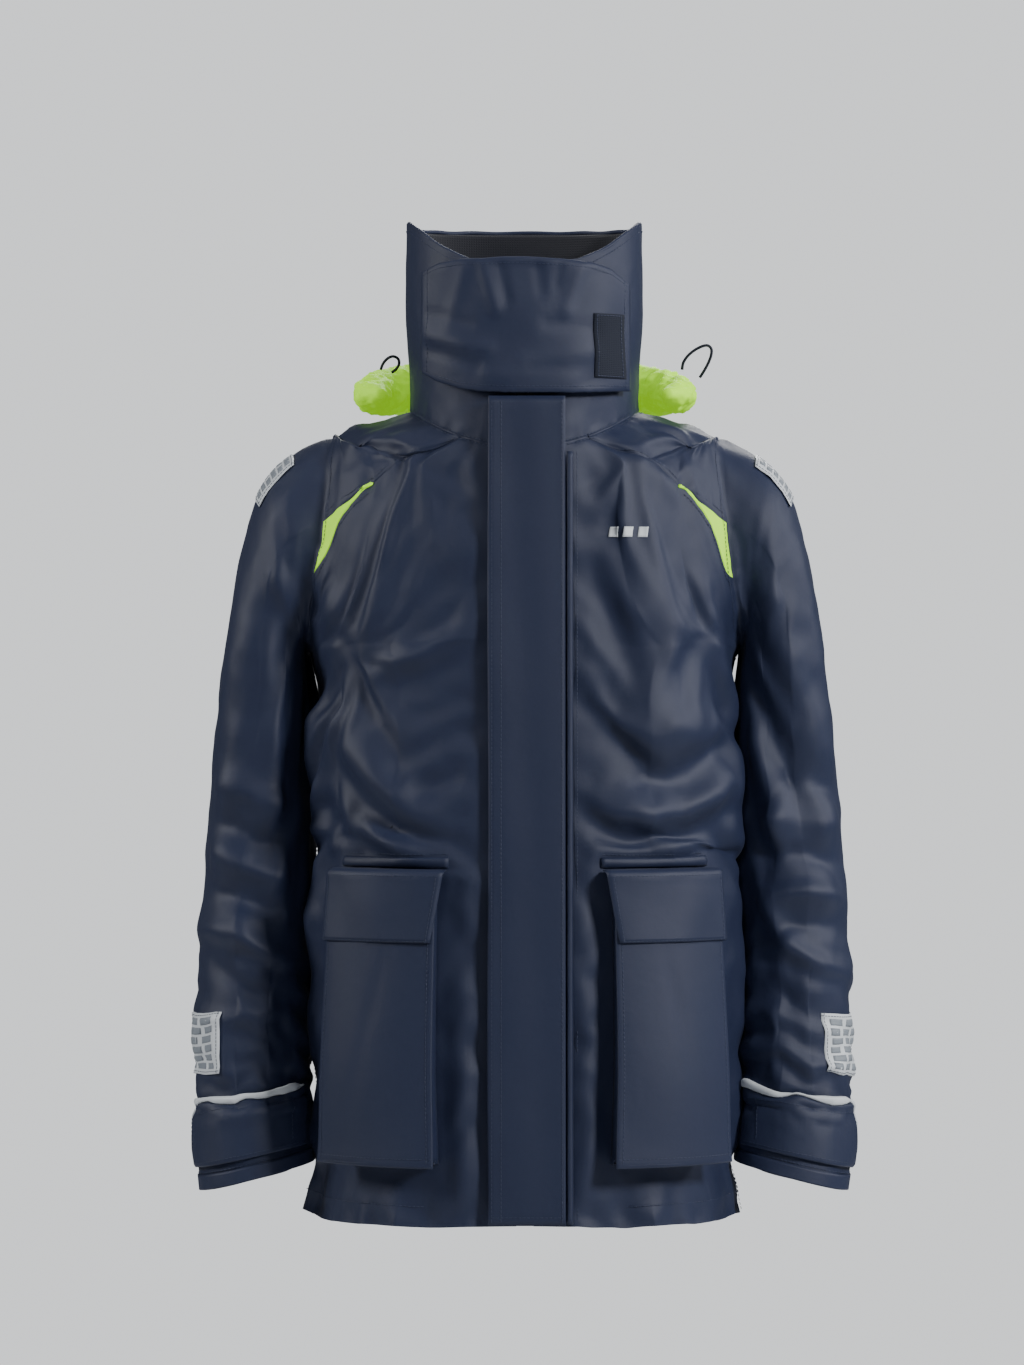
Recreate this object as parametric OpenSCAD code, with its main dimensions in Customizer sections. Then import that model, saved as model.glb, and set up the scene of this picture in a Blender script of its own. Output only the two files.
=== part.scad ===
// Foul weather jacket, in the shape that it has on its wearer.
// The origin is the centre of the neck opening. +Z is up, the wearer faces -Y and the wearer's left is +X.

/* [Body] */
// Length from the neck centre down to the hem
body_length = 696; // [640:4:740]
// Half of the chest width below the armholes
chest_half = 181; // [174:1:184]
// How far the hem flares past the chest, each side
hem_flare = 23; // [12:1:24]
// Lean of the straight front edge: mm forward for each mm down
front_lean = 0.05; // [0.04:0.005:0.06]
// Thickness of the laminated outer cloth
cloth = 1.6; // [1.2:0.1:2]

/* [Collar] */
// Half width of the neck opening at the collar seam
neck_half = 102; // [96:1:106]
// Height of the collar's side edge above the neck centre
collar_top = 182; // [160:2:190]

/* [Storm flap] */
// Width of the flap over the zip
flap_w = 59; // [52:1:62]
// Air between the flap and the body under it
flap_gap = 6; // [6:0.5:7]

/* [Zip] */
// Pitch of the moulded teeth
tooth_pitch = 6; // [5:0.5:8]
// Height of the slider's closed place above the neck centre
slider_top = 112; // [90:2:116]

/* [Pockets] */
// How far the pocket stands off the body at its foot
pocket_depth = 27; // [22:1:30]
// How far it stands off at its mouth
pocket_mouth = 16; // [15:0.5:18]

/* [Hood] */
// Length of the folded hood down the back
hood_drop = 232; // [190:4:250]
// Half of the folded hood's width
hood_half = 120; // [100:2:124]

/* [Hidden] */

navy = "#232c45";
dark_navy = "#141a2c";
lime = "#c6f432";
silver = "#c9ced2";
black = "#16181c";

// ---- the body's surface -------------------------------------------------------------------------------
// Rows run from the hem to the neck: side z, front z, back z, half width, centre y, back y, squareness.
armpit_row = 6;
shoulder_row = 10;
neck_row = 11;
L = body_length;
W = chest_half;
body_rows = [
    [-L, -L, -L, W + hem_flare, -14, 138, 2.5],
    [-0.94 * L, -0.94 * L, -0.94 * L, W + 6, -14, 134, 2.5],
    [-0.8 * L, -0.8 * L, -0.8 * L, W + 5, -14, 128, 2.6],
    [-0.64 * L, -0.64 * L, -0.64 * L, W + 3, -12, 124, 2.6],
    [-0.48 * L, -0.48 * L, -0.48 * L, W, -8, 130, 2.6],
    [-0.34 * L, -0.34 * L, -0.34 * L, W - 1, -2, 143, 2.5],
    [-190, -192, -188, 200, 5, 150, 2.4],
    [-162, -158, -158, 196, 5, 151, 2.3],
    [-96, -118, -100, 186, 5, 148, 2.2],
    [-30, -84, -42, 176, 5, 138, 2.1],
    [-1, -52, 0, 172, 5, 118, 2.0],
    [14, -23, 34, neck_half, -20, 86, 2.2]];
// The armhole is an ellipse in a plane that leans out towards the armpit.
armpit = [200, -190];
shoulder_tip = [172, -1];
armhole_depth = 75;

// The collar's rows in the same columns, from its seam up to above its top edge.
collar_rows = [
    [14, -23, 34, neck_half, -20, 86, 2.2],
    [52, 20, 72, neck_half + 1, -20, 84, 2.3],
    [104, 66, 118, neck_half + 4, -22, 86, 2.4],
    [collar_top, 134, collar_top + 4, neck_half + 3, -22, 92, 2.4],
    [collar_top + 44, 184, collar_top + 50, neck_half + 2, -22, 94, 2.4]];

// One Catmull-Rom step between table rows, for whole rows at once.
function clamp_index(i, n) = max(0, min(n - 1, i));
function row_at(rows, v) = let (
        n = len(rows),
        i = clamp_index(floor(v), n - 1),
        t = v - i,
        a = rows[clamp_index(i - 1, n)], b = rows[i], c = rows[i + 1], e = rows[clamp_index(i + 2, n)])
    0.5 * (2 * b + (c - a) * t + (2 * a - 5 * b + 4 * c - e) * t * t + (3 * b - a - 3 * c + e) * t * t * t);

function power(x, p) = sign(x) * pow(abs(x), p);
function front_y(z) = -137.5 + front_lean * z;
function unit(a) = a / norm(a);
function lerp(a, b, t) = a + (b - a) * t;

// How far up the armhole row v is, as an angle from 0 at the armpit to 180 at the shoulder tip.
function armhole_angle(v) = 180 * (v - armpit_row) / (shoulder_row - armpit_row);
function in_armhole(v) = v > armpit_row && v < shoulder_row;

// A point on a ring. s runs 0 at the centre line to 1 at the side or the armhole; face is 1 front, -1 back.
function ring_point(row, side_x, side_z, gap_y, s, face) = let (
        yc = row[4],
        depth = face > 0 ? yc - front_y(row[1]) : row[5] - yc,
        n = row[6],
        last = acos(pow(gap_y / depth, n / 2)),
        a = side_x / pow(sin(last), 2 / n),
        f = s * last)
    [a * power(sin(f), 2 / n),
     yc - face * depth * power(cos(f), 2 / n),
     side_z + ((face > 0 ? row[1] : row[2]) - side_z) * pow(cos(90 * s), 2)];
function body_point(s, v, face) = let (
        row = row_at(body_rows, v),
        hole = in_armhole(v),
        q = armhole_angle(v),
        h = (1 - cos(q)) / 2)
    ring_point(row, hole ? lerp(armpit[0], shoulder_tip[0], h) : row[3],
        hole ? lerp(armpit[1], shoulder_tip[1], h) : row[0], hole ? armhole_depth * sin(q) : 0, s, face);
function collar_point(s, v, face) = let (row = row_at(collar_rows, v))
    ring_point(row, row[3], row[0], 0, s, face);

// Normals by small steps, then the point a distance d outside the surface.
step_s = 0.004;
step_v = 0.02;
function body_at(s, v, face, d = 0) = let (
        p = body_point(s, v, face),
        ds = s > 0.5 ? p - body_point(s - step_s, v, face) : body_point(s + step_s, v, face) - p,
        dv = v > 1 ? p - body_point(s, v - step_v, face) : body_point(s, v + step_v, face) - p)
    p + d * face * unit(cross(ds, dv));
function collar_at(s, v, face, d = 0) = let (
        p = collar_point(s, v, face),
        ds = s > 0.5 ? p - collar_point(s - step_s, v, face) : collar_point(s + step_s, v, face) - p,
        dv = v > 1 ? p - collar_point(s, v - step_v, face) : collar_point(s, v + step_v, face) - p)
    p + d * face * unit(cross(ds, dv));

// ---- the sleeve's surface -----------------------------------------------------------------------------
// Rows: inner x, inner z, outer x, outer z, centre y, half depth. They fan out round the armpit.
elbow_row = 10;
cuff_row = 15;
sleeve_gap = 0.6;
sleeve_rows = [
    [200, -190, 172, -1, 5, 75],
    [200, -192, 205, -15, 6, 78],
    [199.5, -195, 232, -38, 7, 79],
    [198.5, -199, 247, -66, 8, 78],
    [197, -205, 256, -100, 9, 76],
    [194.5, -214, 264, -145, 10, 74],
    [191, -230, 270, -190, 11, 73],
    [187.5, -257, 277, -247, 12, 72],
    [187, -302, 282, -307, 12, 70],
    [189, -363, 287, -369, 8, 68],
    [190, -420, 290, -420, 2, 66],
    [191, -466, 292, -472, -6, 64],
    [192, -520, 293, -537, -16, 60],
    [193, -580, 293, -598, -27, 56],
    [193, -624, 291, -646, -36, 53],
    [191, -652, 287, -678, -42, 51]];
sleeve_n = 2.2;
// turn is 0 at the outer edge, 90 in front, 180 against the body.
function sleeve_point(turn, v) = let (
        r = row_at(sleeve_rows, v),
        c = power(cos(turn), 2 / sleeve_n),
        e = power(sin(turn), 2 / sleeve_n))
    [sleeve_gap + (r[0] + r[2]) / 2 + c * (r[2] - r[0]) / 2,
     r[4] - e * r[5],
     (r[1] + r[3]) / 2 + c * (r[3] - r[1]) / 2];
function sleeve_at(turn, v, d = 0) = let (
        p = sleeve_point(turn, v),
        dt = sleeve_point(turn + 2, v) - sleeve_point(turn - 2, v),
        dv = v > 1 ? p - sleeve_point(turn, v - step_v) : sleeve_point(turn, v + step_v) - p)
    p + d * unit(cross(dt, dv));

// ---- closed solids from grids of points ---------------------------------------------------------------
function flat(grid) = [for (row = grid) for (p = row) p];
function quad(a, b, c, e) = [[a, b, c], [a, c, e]];
function skin_faces(rows, cols, first, flip, wrap) = [
    for (i = [0:rows - 2]) for (j = [0:cols - (wrap ? 1 : 2)]) let (
            k = (j + 1) % cols,
            a = first + i * cols + j, b = first + i * cols + k,
            c = first + (i + 1) * cols + k, e = first + (i + 1) * cols + j)
        for (t = flip ? quad(e, c, b, a) : quad(a, b, c, e)) t];
function edge_faces(outer, inner, wrap) = let (n = len(outer)) [
    for (j = [0:n - (wrap ? 1 : 2)]) let (k = (j + 1) % n)
        for (t = quad(outer[j], inner[j], inner[k], outer[k])) t];
// outer and inner are grids with the same rows and columns. wrap closes each row on itself.
module shell_of(outer, inner, wrap = false) {
    rows = len(outer);
    cols = len(outer[0]);
    n = rows * cols;
    top = [for (j = [0:cols - 1]) j];
    foot = [for (j = [cols - 1:-1:0]) (rows - 1) * cols + j];
    left = [for (i = [rows - 1:-1:0]) i * cols];
    right = [for (i = [0:rows - 1]) i * cols + cols - 1];
    polyhedron(concat(flat(outer), flat(inner)), concat(
        skin_faces(rows, cols, 0, false, wrap),
        skin_faces(rows, cols, n, true, wrap),
        edge_faces(top, top + n * [for (j = top) 1], wrap),
        edge_faces(foot, foot + n * [for (j = foot) 1], wrap),
        wrap ? [] : edge_faces(left, left + n * [for (j = left) 1], false),
        wrap ? [] : edge_faces(right, right + n * [for (j = right) 1], false)), convexity = 6);
}
function steps(a, b, n) = [for (i = [0:n]) lerp(a, b, i / n)];

// A column of the body is given as s, or beyond 1 as the distance from the centre line in mm.
function last_angle(row, gap_y) = acos(pow(gap_y / (row[4] - front_y(row[1])), row[6] / 2));
function s_at_x(x, v) = let (
        row = row_at(body_rows, v),
        q = armhole_angle(v),
        h = (1 - cos(q)) / 2,
        side = in_armhole(v) ? lerp(armpit[0], shoulder_tip[0], h) : row[3],
        last = last_angle(row, in_armhole(v) ? armhole_depth * sin(q) : 0),
        a = side / pow(sin(last), 2 / row[6]))
    asin(pow(x / a, row[6] / 2)) / last;
function s_at_x_collar(x, v) = let (row = row_at(collar_rows, v)) asin(pow(x / row[3], row[6] / 2)) / 90;
function mirrored(p, m) = [m * p[0], p[1], p[2]];
function body_on(e, v, face, d) =
    mirrored(body_at(abs(e) > 1 ? s_at_x(abs(e), v) : abs(e), v, face, d), sign(e));
function collar_on(e, v, face, d) =
    mirrored(collar_at(abs(e) > 1 ? s_at_x_collar(abs(e), v) : abs(e), v, face, d), sign(e));

// A patch of the body between the row lines low and high, one value for each column. d0 < d1.
module body_patch(cols, low, high, nv, face, d0, d1) {
    function grid(d) = [for (j = [0:nv]) [for (i = [0:len(cols) - 1])
        body_on(cols[i], lerp(high[i], low[i], j / nv), face, d)]];
    if (face > 0) shell_of(grid(d1), grid(d0));
    else shell_of(grid(d0), grid(d1));
}
// A patch right round the body or the collar from one front edge to the other, front_x from the centre.
module round_patch(front_x, ns, vs, d0, d1, on_collar = false, top = []) {
    half = concat([front_x], steps(0.14, 0.9995, ns));
    back = steps(0.93, 0, ns + 1);
    one = concat([for (e = half) [e, 1]], [for (e = back) [e, -1]]);
    other = [for (i = [len(one) - 2:-1:0]) [-one[i][0], one[i][1]]];
    cols = concat(one, other);
    function grid(d) = [for (v = vs) [for (c = cols)
        on_collar ? collar_on(c[0], v, c[1], d) : body_on(c[0], v, c[1], d)]];
    shell_of(grid(d1), grid(d0));
}
module left_right(side) {
    if (side > 0) children();
    else mirror([1, 0, 0]) children();
}
// Local z runs up the straight front edge, local y points into the body.
module front_line() {
    translate([0, -137.5, 0]) rotate([-atan(front_lean), 0, 0]) children();
}
// A bar along the front edge: its section in x and y, from z0 up to z1.
module front_bar(section, z0, z1) {
    front_line() translate([0, 0, z0]) linear_extrude(z1 - z0) polygon(section);
}
function box_section(x0, x1, y0, y1) = [[x0, y0], [x1, y0], [x1, y1], [x0, y1]];

// ---- seams, as row lines over s -----------------------------------------------------------------------
seam = 0.012;
yoke_line = [[0, 11], [0.34, 11], [0.376, 10.318], [0.491, 9.71], [0.661, 8.876], [0.953, 8.295], [1, 8.25]];
insert_line = [[0, 11], [0.661, 11], [0.665, 8.861], [0.795, 8.492], [0.872, 8.276], [0.896, 8.102],
    [0.948, 7.659], [1, 7.62]];
back_yoke_row = 8.6;
front_cols = [8, 0.1, 0.2, 0.3, 0.34, 0.376, 0.44, 0.491, 0.58, 0.661, 0.73, 0.795, 0.872, 0.896, 0.948, 0.9995];
function yoke_v(e) = e > 1 ? 11 : lookup(e, yoke_line);
function insert_v(e) = e > 1 ? 11 : min(lookup(e, yoke_line), lookup(e, insert_line));

module front_panel(side) {
    high = [for (e = front_cols) insert_v(e) - seam];
    left_right(side) color(navy) body_patch(front_cols, [for (e = front_cols) 0], high, 16, 1, -cloth, 0);
}
module front_yoke(side) {
    cols = [for (e = front_cols) if (e >= 0.35 && e < 1) e];
    low = [for (e = cols) yoke_v(e) + seam];
    left_right(side) color(navy) body_patch(cols, low, [for (e = cols) 11 - seam], 6, 1, -cloth, 0);
}
module chest_insert(side) {
    cols = [0.69, 0.73, 0.795, 0.872, 0.896, 0.948, 0.9995];
    low = [for (e = cols) lookup(e, insert_line) + seam];
    high = [for (e = cols) lookup(e, yoke_line) - seam];
    left_right(side) color(lime) body_patch(cols, low, high, 4, 1, -cloth, 0);
}
back_cols = concat(-1 * steps(0.9995, 0.12, 8), [0], steps(0.12, 0.9995, 8));
module back_panel() {
    color(navy) body_patch(back_cols, [for (e = back_cols) 0],
        [for (e = back_cols) back_yoke_row - seam], 14, -1, -cloth, 0);
}
module back_yoke() {
    color(navy) body_patch(back_cols, [for (e = back_cols) back_yoke_row + seam],
        [for (e = back_cols) 11 - seam], 6, -1, -cloth, 0);
}
module body_lining() {
    color(dark_navy) round_patch(26, 9, steps(5.9, 0.15, 9), -cloth - 4.6, -cloth - 3.4);
}
collar_vs = [3, 2.5, 2, 1.5, 1, 0.5, 0.02];
module collar_shell() {
    color(navy) round_patch(8, 7, collar_vs, -cloth, 0, true);
}
module collar_lining() {
    color(black) round_patch(12, 7, collar_vs, -cloth - 4.6, -cloth - 1, true);
}

// ---- front closure ------------------------------------------------------------------------------------
flap_top = 21;
hinge_x = 36;
flap_thick = 2.6;
flap_out = flap_gap + flap_thick;
hinge_out = flap_out + 0.2;
module storm_flap() {
    free = hinge_x - flap_w - 9;
    section = [[hinge_x - 0.6, -flap_gap], [free + 1.5, -flap_gap], [free, -flap_gap - 0.8],
        [free, -flap_out + 0.8], [free + 1.5, -flap_out], [hinge_x - 0.6, -flap_out]];
    color(navy) front_bar(section, -L, flap_top);
}
module storm_flap_hook_strip() {
    color(black) front_bar(box_section(-29, -13, -flap_gap + 0.2, -flap_gap + 1.2), -L + 30, flap_top - 40);
}
module placket_loop_strip() {
    cols = [-29, -13];
    color(black) body_patch(cols, [0.25, 0.25], [10.4, 10.4], 14, 1, 0.2, 1.2);
}
module storm_flap_welt() {
    x0 = hinge_x + 0.5;
    x1 = hinge_x + 6;
    zs = steps(flap_top - 48, -L + 2, 14);
    function v_at(z) = lookup(z, [for (i = [0:11]) [body_rows[i][1], i]]);
    outer = [for (z = zs) [for (x = [x0, x1]) [x, front_y(z) - hinge_out + 0.4, z]]];
    inner = [for (z = zs) [for (x = [x0, x1])
        [x, body_on(x, v_at(z), 1, 1.4)[1] - (z < -L + 4 ? 0.3 : 0), z]]];
    color(navy) shell_of(outer, inner);
}
module zip_tape(side) {
    cols = [3.6, 20];
    left_right(side) color(black) body_patch(cols, [0.86, 0.86], [10.97, 10.97], 16, 1, -cloth - 1.3, -cloth - 0.4);
}
zip_low = -L + 30;
zip_high = 128;
tooth_y = 0.9;
tooth_thick = 3.2;
module zip_teeth() {
    n = floor((zip_high - zip_low) / tooth_pitch);
    right = [for (i = [0:n - 1]) for (p = [[3.3, 0.1], [3.3, 0.55], [1.2, 0.6], [1.2, 0.95]])
        [p[0], (i + p[1]) * tooth_pitch]];
    left = [for (i = [n - 1:-1:0]) for (p = [[-1.2, 0.95], [-3.3, 0.9], [-3.3, 0.5], [-1.2, 0.45]])
        [p[0], (i + p[1]) * tooth_pitch]];
    color(black) front_line() translate([0, tooth_y + tooth_thick, zip_low]) rotate([90, 0, 0])
        linear_extrude(tooth_thick) polygon(concat(right, left));
}
module zip_box() {
    color(black) front_bar(box_section(-5.5, 5.5, 0.2, 4.4), zip_low - 16, zip_low - 0.6);
}
slider_half = 6;
slider_len = 18;
module zip_slider() {
    section = [[-slider_half, -2.2], [slider_half, -2.2], [slider_half, 1.2], [slider_half - 1.8, 1.2],
        [slider_half - 1.8, 0.4], [-slider_half + 1.8, 0.4], [-slider_half + 1.8, 1.2], [-slider_half, 1.2]];
    color(black) front_bar(section, slider_top - slider_len, slider_top);
}
puller_pivot = slider_top - 4;
module zip_puller() {
    color(black) front_line() translate([0, -2.8, puller_pivot]) rotate([90, 0, 0]) linear_extrude(1.8)
        difference() {
            hull() {
                translate([0, 0]) circle(d = 7, $fn = 32);
                translate([0, -34]) circle(d = 11, $fn = 32);
            }
            translate([0, -34]) circle(d = 5, $fn = 32);
        }
}
module inner_storm_flap() {
    cols = [-24, -10, 0, 10, 24, 36];
    color(navy) body_patch(cols, [for (e = cols) 0.1], [for (e = cols) 10.9], 14, 1, -cloth - 6.9, -cloth - 5.3);
}

// ---- face guard over the collar's front ---------------------------------------------------------------
guard_gap = 7.4;
guard_thick = 2.4;
guard_cols = [-84, -70, -52, -34, -16, 0, 18, 36, 54, 70, 86];
guard_low = [44, 35, 28, 25, 24, 24, 24, 24, 25, 26, 28];
guard_high = [132, 139, 142, 142, 143, 143, 142, 141, 139, 134, 121];
function collar_v(e, z) = let (
        s = s_at_x_collar(abs(e), 2),
        k = pow(cos(90 * s), 2))
    lookup(z, [for (i = [0:4]) [lerp(collar_rows[i][0], collar_rows[i][1], k), i]]);
module guard_patch(cols, low, high, nv, d0, d1) {
    function grid(d) = [for (j = [0:nv]) [for (i = [0:len(cols) - 1])
        let (z = lerp(high[i], low[i], j / nv), p = collar_on(cols[i], collar_v(cols[i], z), 1, d))
            [p[0], p[1], z]]];
    shell_of(grid(d1), grid(d0));
}
module face_guard() {
    color(navy) guard_patch(guard_cols, guard_low, guard_high, 6, guard_gap, guard_gap + guard_thick);
}
module face_guard_tape() {
    out = guard_gap + guard_thick + 0.2;
    color(black) guard_patch([56, 68, 80], [38, 38, 39], [94, 94, 92], 3, out, out + 1.1);
}
module guard_loop_patch() {
    color(black) guard_patch([50, 62, 76], [44, 44, 44], [100, 100, 98], 3, 0.3, 1.4);
}

// ---- chest pockets and their flaps --------------------------------------------------------------------
mouth_z = -402;
foot_z = -646;
pocket_in = 0.2;
pocket_out = 0.61;
function body_v(e, z) = let (k = pow(cos(90 * e), 2))
    lookup(z, [for (i = [0:11]) [lerp(body_rows[i][0], body_rows[i][1], k), i]]);
function pocket_d(z) = lerp(pocket_mouth, pocket_depth, (mouth_z - z) / (mouth_z - foot_z));
function pocket_at(e, z, d) = body_on(e, body_v(e, z), 1, d);
pocket_cols = steps(pocket_in, pocket_out, 8);
module pocket_front(side) {
    zs = steps(mouth_z, foot_z, 5);
    function grid(up) = [for (z = zs) [for (e = pocket_cols) pocket_at(e, z, pocket_d(z) + up)]];
    left_right(side) color(navy) shell_of(grid(cloth), grid(0));
}
module pocket_gusset(side) {
    wall = 1.4;
    in_side = [for (z = steps(mouth_z, foot_z + 3, 4)) [pocket_in + 0.004, z]];
    foot = [for (e = steps(pocket_in + 0.05, pocket_out - 0.05, 6)) [e, foot_z + 2]];
    out_side = [for (z = steps(foot_z + 3, mouth_z, 4)) [pocket_out - 0.004, z]];
    path = concat(in_side, foot, out_side);
    shrink = [for (p = path) [lerp((pocket_in + pocket_out) / 2, p[0], 0.975), p[1] < foot_z + 2.5 ? p[1] + wall : p[1]]];
    function grid(line) = [for (t = [0:3]) [for (p = line)
        pocket_at(p[0], p[1], lerp(1.2, pocket_d(p[1]) - 0.5, 1 - t / 3))]];
    left_right(side) color(navy) shell_of(grid(shrink), grid(path));
}
module pocket_welt(side) {
    cols = steps(pocket_in - 0.03, pocket_out + 0.02, 8);
    left_right(side) color(navy) body_patch(cols, [for (e = cols) body_v(e, -388)],
        [for (e = cols) body_v(e, -380)], 1, 1, 0.3, 3);
}
flap_lift = cloth + 0.8;
flap_high = -391;
flap_low = -454;
flap_cols = steps(pocket_in - 0.025, pocket_out + 0.01, 8);
module pocket_flap(side) {
    zs = steps(flap_high, flap_low, 4);
    function grid(up) = [for (z = zs) [for (i = [0:8]) let (
            inset = i == 0 ? 0.035 * (flap_high - z) / (flap_high - flap_low) : 0)
        pocket_at(flap_cols[i] + inset, z, pocket_d(min(z, mouth_z)) + flap_lift + up)]];
    left_right(side) color(navy) shell_of(grid(2.2), grid(0));
}

// ---- hood folded behind the neck ----------------------------------------------------------------------
roll_turns = steps(-112, 112, 20);
module hood_neck() {
    function ring(t) = let (
            tip = 1 - pow(abs(t) / 116, 6),
            c = [137 * sin(t), 8 + 121 * cos(t), 30 + 19 * pow(cos(t / 1.3), 2)],
            wide = (17 + 6 * abs(sin(t))) * tip,
            tall = (20 + 9 * pow(cos(t), 2)) * tip)
        [for (a = steps(0, 330, 11)) c + wide * cos(a) * [sin(t), cos(t), 0] + [0, 0, tall * sin(a)]];
    rings = [for (t = roll_turns) ring(t)];
    n = len(rings);
    color(lime) polyhedron(flat(rings), concat(skin_faces(n, 12, 0, false, true),
        [[for (j = [11:-1:0]) j]], [[for (j = [0:11]) (n - 1) * 12 + j]]), convexity = 6);
}
module hood_bag() {
    cols = concat(-1 * steps(hood_half / 240, 0.08, 5), [0], steps(0.08, hood_half / 240, 5));
    high = 9.75;
    low = 9.75 - hood_drop / 62;
    function edge(e, t) = (1 - pow(abs(e) / (hood_half / 240), 4)) * (1 - pow(2 * t - 1, 6));
    function grid(out) = [for (j = [0:8]) [for (e = cols) let (
            t = j / 8, v = lerp(high, low + abs(e), t))
        body_on(e, v, -1, 9 + 8 * pow(1 - t, 2) + (out ? 3 + 19 * edge(e, t) : 0))]];
    color(lime) shell_of(grid(false), grid(true));
}
// Cord routes: loops of elastic cord that come out of the hood roll.
cord_r = 1.3;
cord_left = [[142, -2, 54], [143, -4, 60], [147, -6, 66], [153, -8, 71], [160, -9, 74.5], [165, -9, 75],
    [168, -8, 72], [168, -7, 67], [166, -5, 61], [163, -3, 55], [160, -1, 50], [158, 0, 47]];
cord_right = [[-129, -2, 54], [-127, -4, 59], [-123, -6, 63.5], [-118, -7, 65.5], [-113.5, -6, 63.5],
    [-112.5, -5, 59], [-115, -3, 54.5], [-119, -1, 51.5]];
function cord_ring(path, i) = let (
        n = len(path),
        t = unit(path[min(n - 1, i + 1)] - path[max(0, i - 1)]),
        u = unit(cross(t, [0, 1, 0])),
        w = cross(t, u))
    [for (a = steps(0, 315, 7)) path[i] + cord_r * (cos(a) * u + sin(a) * w)];
module cord(path) {
    rings = [for (i = [0:len(path) - 1]) cord_ring(path, i)];
    n = len(rings);
    polyhedron(flat(rings), concat(skin_faces(n, 8, 0, false, true),
        [[for (j = [7:-1:0]) j]], [[for (j = [0:7]) (n - 1) * 8 + j]]), convexity = 4);
}
module hanger_loop() {
    color(navy) translate([0, 76, 40]) rotate([90, 0, 0]) linear_extrude(1.4) difference() {
        union() {
            circle(r = 22, $fn = 64);
            translate([-22, 0]) square([44, 14]);
        }
        circle(r = 15, $fn = 64);
        translate([-15, 0]) square([30, 20]);
        translate([-40, 14]) square([80, 40]);
    }
}
module chest_emblem() {
    cols = [0.3, 0.36, 0.42, 0.48];
    color(silver) body_patch(cols, [for (e = cols) body_v(e, -101)], [for (e = cols) body_v(e, -92)], 1, 1, 0.3, 0.9);
}

// ---- sleeves ------------------------------------------------------------------------------------------
turns = [for (i = [0:23]) 15 * i];
module sleeve_tube(side, vs, d0, d1, ts = turns) {
    function grid(d) = [for (v = vs) [for (t = ts) sleeve_at(t, v, d)]];
    left_right(side) shell_of(grid(d0), grid(d1), true);
}
module sleeve_patch(side, ts, vs, d0, d1) {
    function grid(d) = [for (v = vs) [for (t = ts) sleeve_at(t, v, d)]];
    left_right(side) shell_of(grid(d0), grid(d1));
}
elbow = 0.012;
module sleeve_upper(side) {
    color(navy) sleeve_tube(side, [0.02, 0.5, 1, 2, 3, 4, 5, 6, 7, 8, 9, elbow_row - elbow], -cloth, 0);
}
module sleeve_forearm(side) {
    color(navy) sleeve_tube(side, [elbow_row + elbow, 11, 12, 13, 14, cuff_row], -cloth, 0);
}
module cuff_band(side) {
    color(navy) sleeve_tube(side, [14.5, cuff_row], 0.3, 1.7);
}
module inner_cuff(side) {
    color(black) sleeve_tube(side, [12.6, 13.6, 14.4], -9, -7.4);
}
module forearm_patch(side) {
    color(silver) sleeve_patch(side, steps(-12, 64, 5), [11.6, 12, 12.5], 0.6, 1.4);
}
module shoulder_patch(side) {
    color(silver) sleeve_patch(side, steps(-25, 30, 4), [1.05, 1.5, 2, 2.5], 1, 1.8);
}
module cuff_loop(side) {
    color(black) sleeve_patch(side, steps(-15, 45, 4), [13.4, 14, 14.3], 0.6, 1.5);
}
// The tab's free end is cut at a slant, and the piping follows its top edge and that slant.
tab_turns = steps(10, 150, 10);
function tab_top(t) = t < 20 ? 13.54 : 13.04;
module cuff_tab(side) {
    function grid(d) = [for (k = [0:3]) [for (t = tab_turns) sleeve_at(t, lerp(tab_top(t), 14.3, k / 3), d)]];
    left_right(side) color(navy) shell_of(grid(2.4), grid(4.4));
}
module cuff_piping(side) {
    function grid(d) = [for (k = [0:1]) [for (t = tab_turns) sleeve_at(t, tab_top(t) - 0.13 + 0.12 * k, d)]];
    left_right(side) color(silver) shell_of(grid(2.4), grid(4.6));
}

front_panel(1);  // front_panel_left
front_panel(-1);  // front_panel_right
back_panel();
front_yoke(1);  // front_yoke_left
front_yoke(-1);  // front_yoke_right
back_yoke();
chest_insert(1);  // chest_insert_left
chest_insert(-1);  // chest_insert_right
body_lining();
collar_shell();
collar_lining();
storm_flap_welt();
zip_tape(1);  // zip_tape_left
zip_tape(-1);  // zip_tape_right
zip_teeth();
zip_box();
inner_storm_flap();
placket_loop_strip();
guard_loop_patch();
pocket_front(1);  // pocket_front_left
pocket_front(-1);  // pocket_front_right
pocket_gusset(1);  // pocket_gusset_left
pocket_gusset(-1);  // pocket_gusset_right
pocket_welt(1);  // pocket_welt_left
pocket_welt(-1);  // pocket_welt_right
hood_neck();
color(black) cord(cord_left);  // hood_cord_left
color(black) cord(cord_right);  // hood_cord_right
hanger_loop();
chest_emblem();
storm_flap();
storm_flap_hook_strip();
face_guard();
face_guard_tape();
zip_slider();
zip_puller();
hood_bag();
pocket_flap(1);  // pocket_flap_left
pocket_flap(-1);  // pocket_flap_right
sleeve_upper(1);  // sleeve_upper_left
sleeve_upper(-1);  // sleeve_upper_right
shoulder_patch(1);  // shoulder_patch_left
shoulder_patch(-1);  // shoulder_patch_right
sleeve_forearm(1);  // sleeve_forearm_left
sleeve_forearm(-1);  // sleeve_forearm_right
cuff_band(1);  // cuff_band_left
cuff_band(-1);  // cuff_band_right
inner_cuff(1);  // inner_cuff_left
inner_cuff(-1);  // inner_cuff_right
forearm_patch(1);  // forearm_patch_left
forearm_patch(-1);  // forearm_patch_right
cuff_loop(1);  // cuff_loop_left
cuff_loop(-1);  // cuff_loop_right
cuff_piping(1);  // cuff_piping_left
cuff_piping(-1);  // cuff_piping_right
cuff_tab(1);  // cuff_tab_left
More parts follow.
